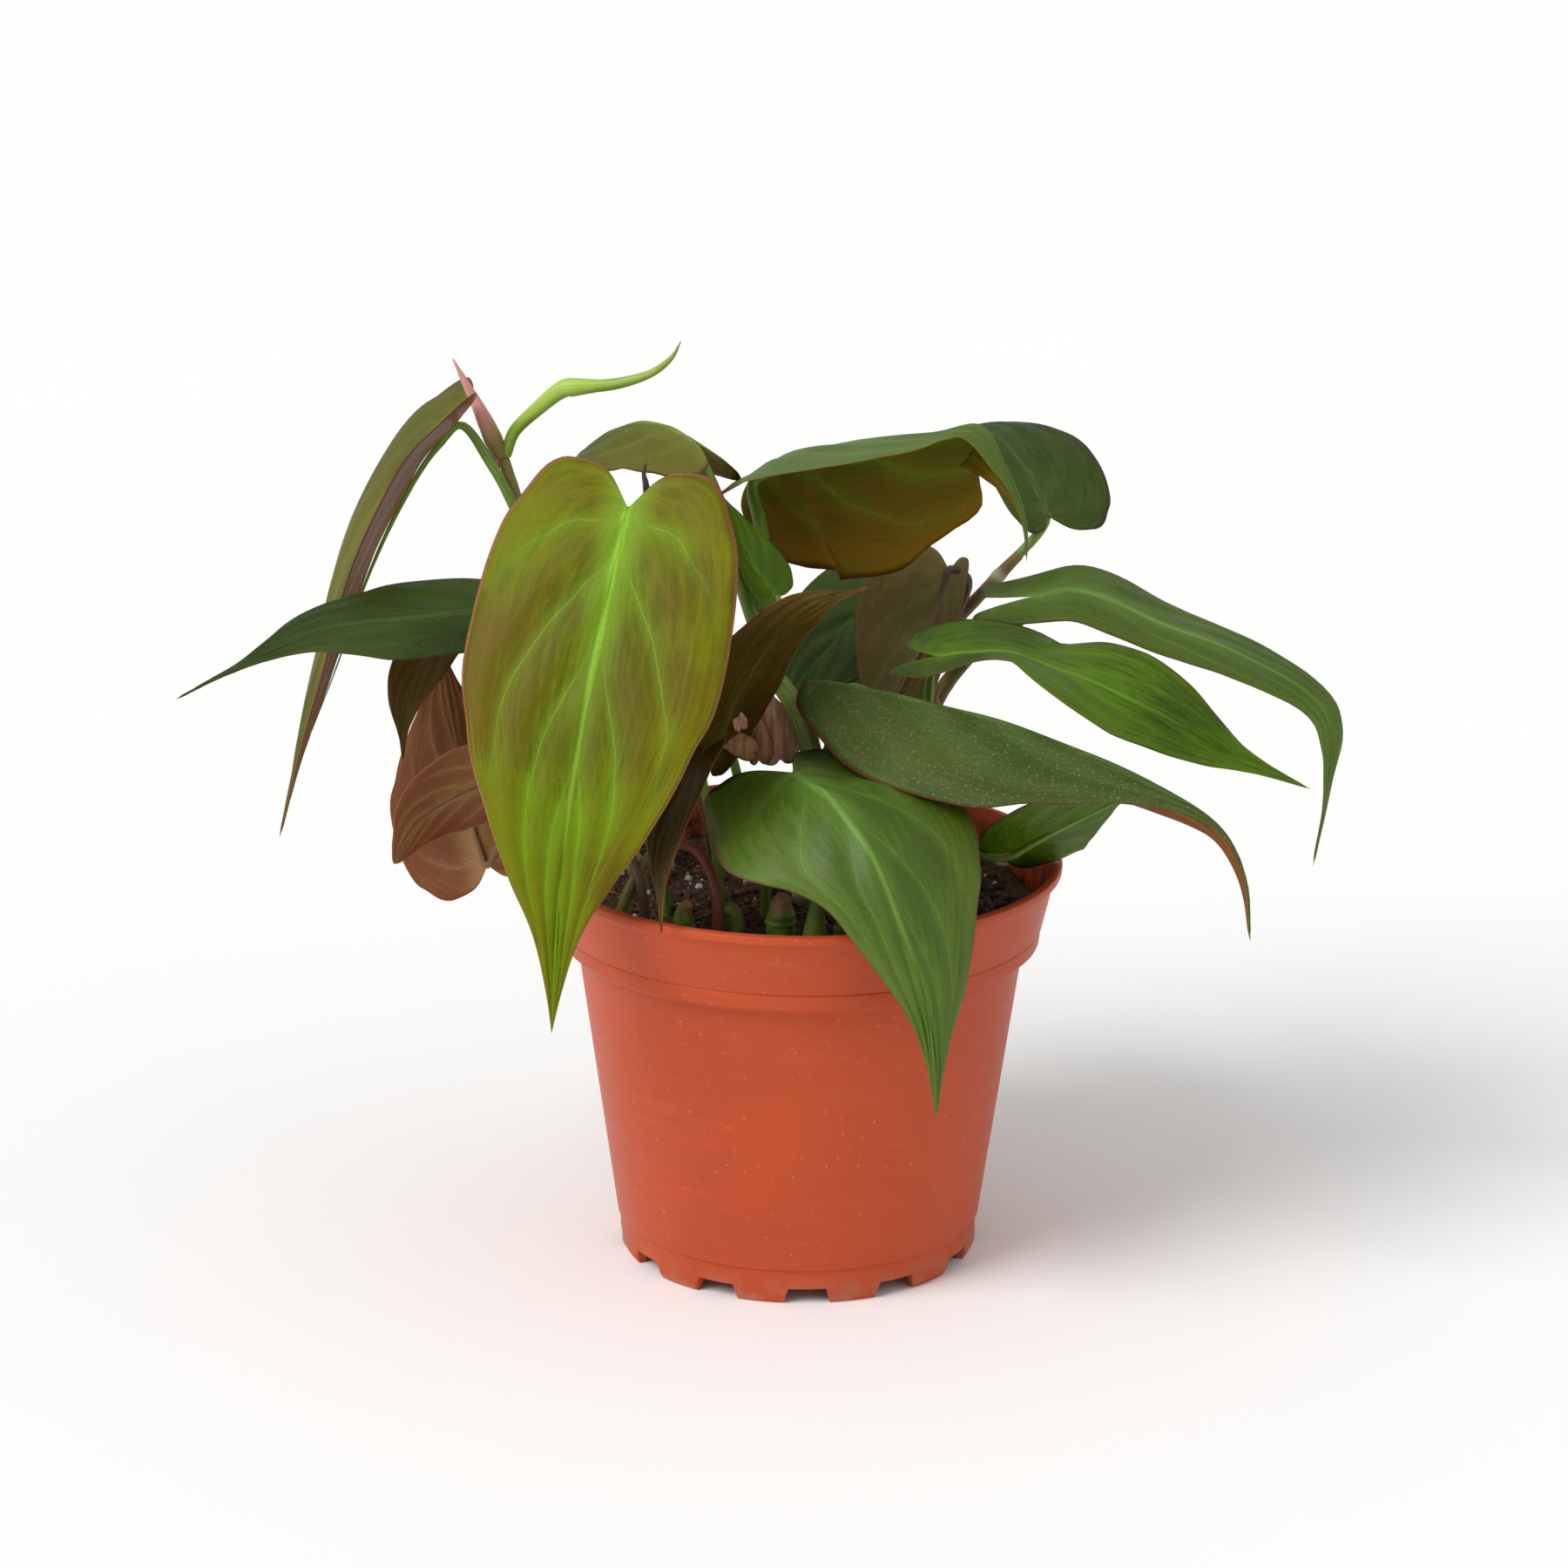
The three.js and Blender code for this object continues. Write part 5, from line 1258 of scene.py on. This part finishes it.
class SoilSettings(bpy.types.PropertyGroup):
    crumbs: bpy.props.FloatProperty(name="Crumbs", description="Soil crumbs in a square centimetre",
                                    default=22, min=0)
    bark: bpy.props.FloatProperty(name="Bark", description="Bark chips in a square centimetre",
                                  default=3, min=0)
    perlite: bpy.props.FloatProperty(name="Perlite", description="Perlite grains in a square centimetre",
                                     default=2.4, min=0)
    fibres: bpy.props.FloatProperty(name="Fibres", description="Loose fibres in a square centimetre",
                                    default=1.2, min=0)


class LeafSettings(bpy.types.PropertyGroup):
    thickness: bpy.props.FloatProperty(name="Thickness", description="Thickness of a blade",
                                       default=0.5 * MM, min=0.1 * MM, unit="LENGTH")
    quilting: bpy.props.FloatProperty(name="Quilting",
                                      description="How far the largest blade puffs up between veins",
                                      default=0.55 * MM, min=0, unit="LENGTH")
    rows: bpy.props.IntProperty(name="Rows", description="Faces along a blade", default=84, min=12)
    columns: bpy.props.IntProperty(name="Columns", description="Faces across a blade", default=44, min=8)


class StalkSettings(bpy.types.PropertyGroup):
    petiole: bpy.props.FloatProperty(name="Petiole radius", description="Radius of a petiole at mid length",
                                     default=1.15 * MM, min=0.3 * MM, unit="LENGTH")
    vine: bpy.props.FloatProperty(name="Vine girth", description="Girth of the vines against their solids",
                                  default=1.0, min=0.2, subtype="FACTOR")


class StageSettings(bpy.types.PropertyGroup):
    floor: colour_property("Floor", "#fcfcfb", "Colour of the studio floor")
    brightness: bpy.props.FloatProperty(name="Brightness", description="Strength of the studio lamps",
                                        default=1.0, min=0)


# ---- Operators ----------------------------------------------------------------------------------------
class PLANT_OT_pot(bpy.types.Operator):
    """Build the nursery pot"""
    bl_idname = "plant.pot"
    bl_label = "Nursery pot"

    def execute(self, context):
        make_pot(context.scene.plant_pot)
        return {"FINISHED"}


class PLANT_OT_soil(bpy.types.Operator):
    """Fill the pot with soil and strew its crumbs, bark, perlite and fibres"""
    bl_idname = "plant.soil"
    bl_label = "Potting soil"

    def execute(self, context):
        make_soil(context.scene.plant_soil)
        return {"FINISHED"}


class PLANT_OT_vines(bpy.types.Operator):
    """Grow the vines"""
    bl_idname = "plant.vines"
    bl_label = "Vines"

    def execute(self, context):
        for name, vine in VINES.items():
            make_vine(name, vine, context.scene.plant_stalks.vine)
        return {"FINISHED"}


class PLANT_OT_petioles(bpy.types.Operator):
    """Grow each leaf's stalk, with the midrib under its blade"""
    bl_idname = "plant.petioles"
    bl_label = "Petioles"

    def execute(self, context):
        for name, leaf in LEAVES.items():
            make_petiole(name, leaf, context.scene.plant_stalks.petiole / MM * leaf["stout"])
        return {"FINISHED"}


class PLANT_OT_leaves(bpy.types.Operator):
    """Grow the leaf blades"""
    bl_idname = "plant.leaves"
    bl_label = "Leaves"

    def execute(self, context):
        for seed, (name, leaf) in enumerate(LEAVES.items()):
            make_blade(name, leaf, seed, context.scene.plant_leaves)
        return {"FINISHED"}


class PLANT_OT_stumps(bpy.types.Operator):
    """Add the stumps of the vines that were cut"""
    bl_idname = "plant.stumps"
    bl_label = "Cut stumps"

    def execute(self, context):
        make_stumps()
        return {"FINISHED"}


class PLANT_OT_shoot(bpy.types.Operator):
    """Add the newest growth: a bud sheath and a rolled leaf"""
    bl_idname = "plant.shoot"
    bl_label = "New growth"

    def execute(self, context):
        make_shoot()
        return {"FINISHED"}


class PLANT_OT_air_root(bpy.types.Operator):
    """Add the curled air root over the soil"""
    bl_idname = "plant.air_root"
    bl_label = "Air root"

    def execute(self, context):
        make_air_root()
        return {"FINISHED"}


class PLANT_OT_trimmings(bpy.types.Operator):
    """Add the dried sheaths and the thin old stalks between the leaves"""
    bl_idname = "plant.trimmings"
    bl_label = "Sheaths and old stalks"

    def execute(self, context):
        for name in SHEATHS:
            make_sheath(name)
        for name in TWIGS:
            make_twig(name)
        return {"FINISHED"}


def lamp(name, place, spread, power):
    """A broad, even lamp that shines from place towards the middle of the scene."""
    data = bpy.data.lights.new(name, "SUN")
    data.angle, data.energy = math.radians(spread), power
    made = bpy.data.objects.new(name, data)
    made.location = place
    made.rotation_euler = Vector(place).to_track_quat("Z", "Y").to_euler()
    bpy.context.scene.collection.objects.link(made)


LAMPS = {"key": ((-0.85, -0.62, 0.95), 35, 2.1), "fill": ((0.9, -0.5, 0.5), 60, 0.22)}  # place, spread, power
BACKDROP = 0.56
FLOOR_REACH = 6.0             # metres from the middle to an edge
# The camera's height and roll in degrees, its distance, lens and sensor in millimetres, and its aim from the
# pot's foot.
VIEW_HEIGHT, VIEW_ROLL = 16.7, -0.45
VIEW_DISTANCE, VIEW_LENS, VIEW_SENSOR = 1000, 109.62, 36
VIEW_TARGET = (-3.7, 0, 101.6)
VIEW_END = 20                 # metres


class PLANT_OT_stage(bpy.types.Operator):
    """Set up the floor, the lamps and the camera"""
    bl_idname = "plant.stage"
    bl_label = "Studio"

    def execute(self, context):
        settings = context.scene.plant_stage
        context.scene.view_settings.view_transform = "Standard"
        tree, material = Tree.of_material("studio_floor")
        grain = tree.cloud(object_place(tree), 3, 3)
        shade = tree.mix(grain * 0.02, opaque(settings.floor), opaque([c * 0.9 for c in settings.floor]))
        surface(tree, shade, tree.ramp(grain, 0.3, 0.7, 0.85, 0.95), grain, 0.02, 0.001)
        mesh = bpy.data.meshes.new("studio_floor")
        corners = [(x * FLOOR_REACH, y * FLOOR_REACH, 0) for x, y in ((-1, -1), (1, -1), (1, 1), (-1, 1))]
        mesh.from_pydata(corners, [], [(0, 1, 2, 3)])
        mesh.materials.append(material)
        shown("studio_floor", mesh)
        world = bpy.data.worlds.new("studio_light")
        world.use_nodes = True
        backdrop = world.node_tree.nodes["Background"]
        backdrop.inputs[0].default_value = (1, 1, 1, 1)
        backdrop.inputs[1].default_value = BACKDROP * settings.brightness
        context.scene.world = world
        for name, (place, spread, power) in LAMPS.items():
            lamp(name, place, spread, power * settings.brightness)
        self.camera(context)
        return {"FINISHED"}

    def camera(self, context):
        """A long lens in front of the pot, a little above it."""
        data = bpy.data.cameras.new("studio_camera")
        data.sensor_width, data.lens, data.clip_end = VIEW_SENSOR, VIEW_LENS, VIEW_END
        camera = bpy.data.objects.new("studio_camera", data)
        target = Vector((AXIS.x, AXIS.y, 0)) + Vector(VIEW_TARGET) * MM
        tilt = math.radians(VIEW_HEIGHT)
        back = Vector((0, -math.cos(tilt), math.sin(tilt)))
        camera.location = target + back * VIEW_DISTANCE * MM
        camera.rotation_euler = (math.radians(90 - VIEW_HEIGHT), 0, 0)
        camera.rotation_euler.rotate_axis("Z", math.radians(-VIEW_ROLL))
        context.scene.collection.objects.link(camera)
        context.scene.camera = camera


class PLANT_PT_panel(bpy.types.Panel):
    """Lists the plant's pieces and their settings"""
    bl_label = "Potted philodendron"
    bl_idname = "PLANT_PT_panel"
    bl_space_type = "VIEW_3D"
    bl_region_type = "UI"
    bl_category = "Plant"

    def draw(self, context):
        for operator in OPERATORS:
            self.layout.operator(operator.bl_idname)
        for key in SETTINGS:
            group = getattr(context.scene, key)
            box = self.layout.box()
            for field in group.__annotations__:
                box.prop(group, field)


SETTINGS = {"plant_pot": PotSettings, "plant_soil": SoilSettings, "plant_leaves": LeafSettings,
            "plant_stalks": StalkSettings, "plant_stage": StageSettings}
OPERATORS = [PLANT_OT_pot, PLANT_OT_soil, PLANT_OT_vines, PLANT_OT_petioles, PLANT_OT_leaves, PLANT_OT_stumps,
             PLANT_OT_shoot, PLANT_OT_air_root, PLANT_OT_trimmings, PLANT_OT_stage]


def register():
    for made in [*SETTINGS.values(), *OPERATORS, PLANT_PT_panel]:
        bpy.utils.register_class(made)
    for key, group in SETTINGS.items():
        setattr(bpy.types.Scene, key, bpy.props.PointerProperty(type=group))


def unregister():
    for key in SETTINGS:
        delattr(bpy.types.Scene, key)
    for made in [PLANT_PT_panel, *OPERATORS, *SETTINGS.values()]:
        bpy.utils.unregister_class(made)


def main():
    register()
    for operator in OPERATORS:
        getattr(bpy.ops.plant, operator.bl_idname.split(".")[1])()
    bpy.context.view_layer.update()
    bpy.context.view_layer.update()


if __name__ == "__main__":
    main()
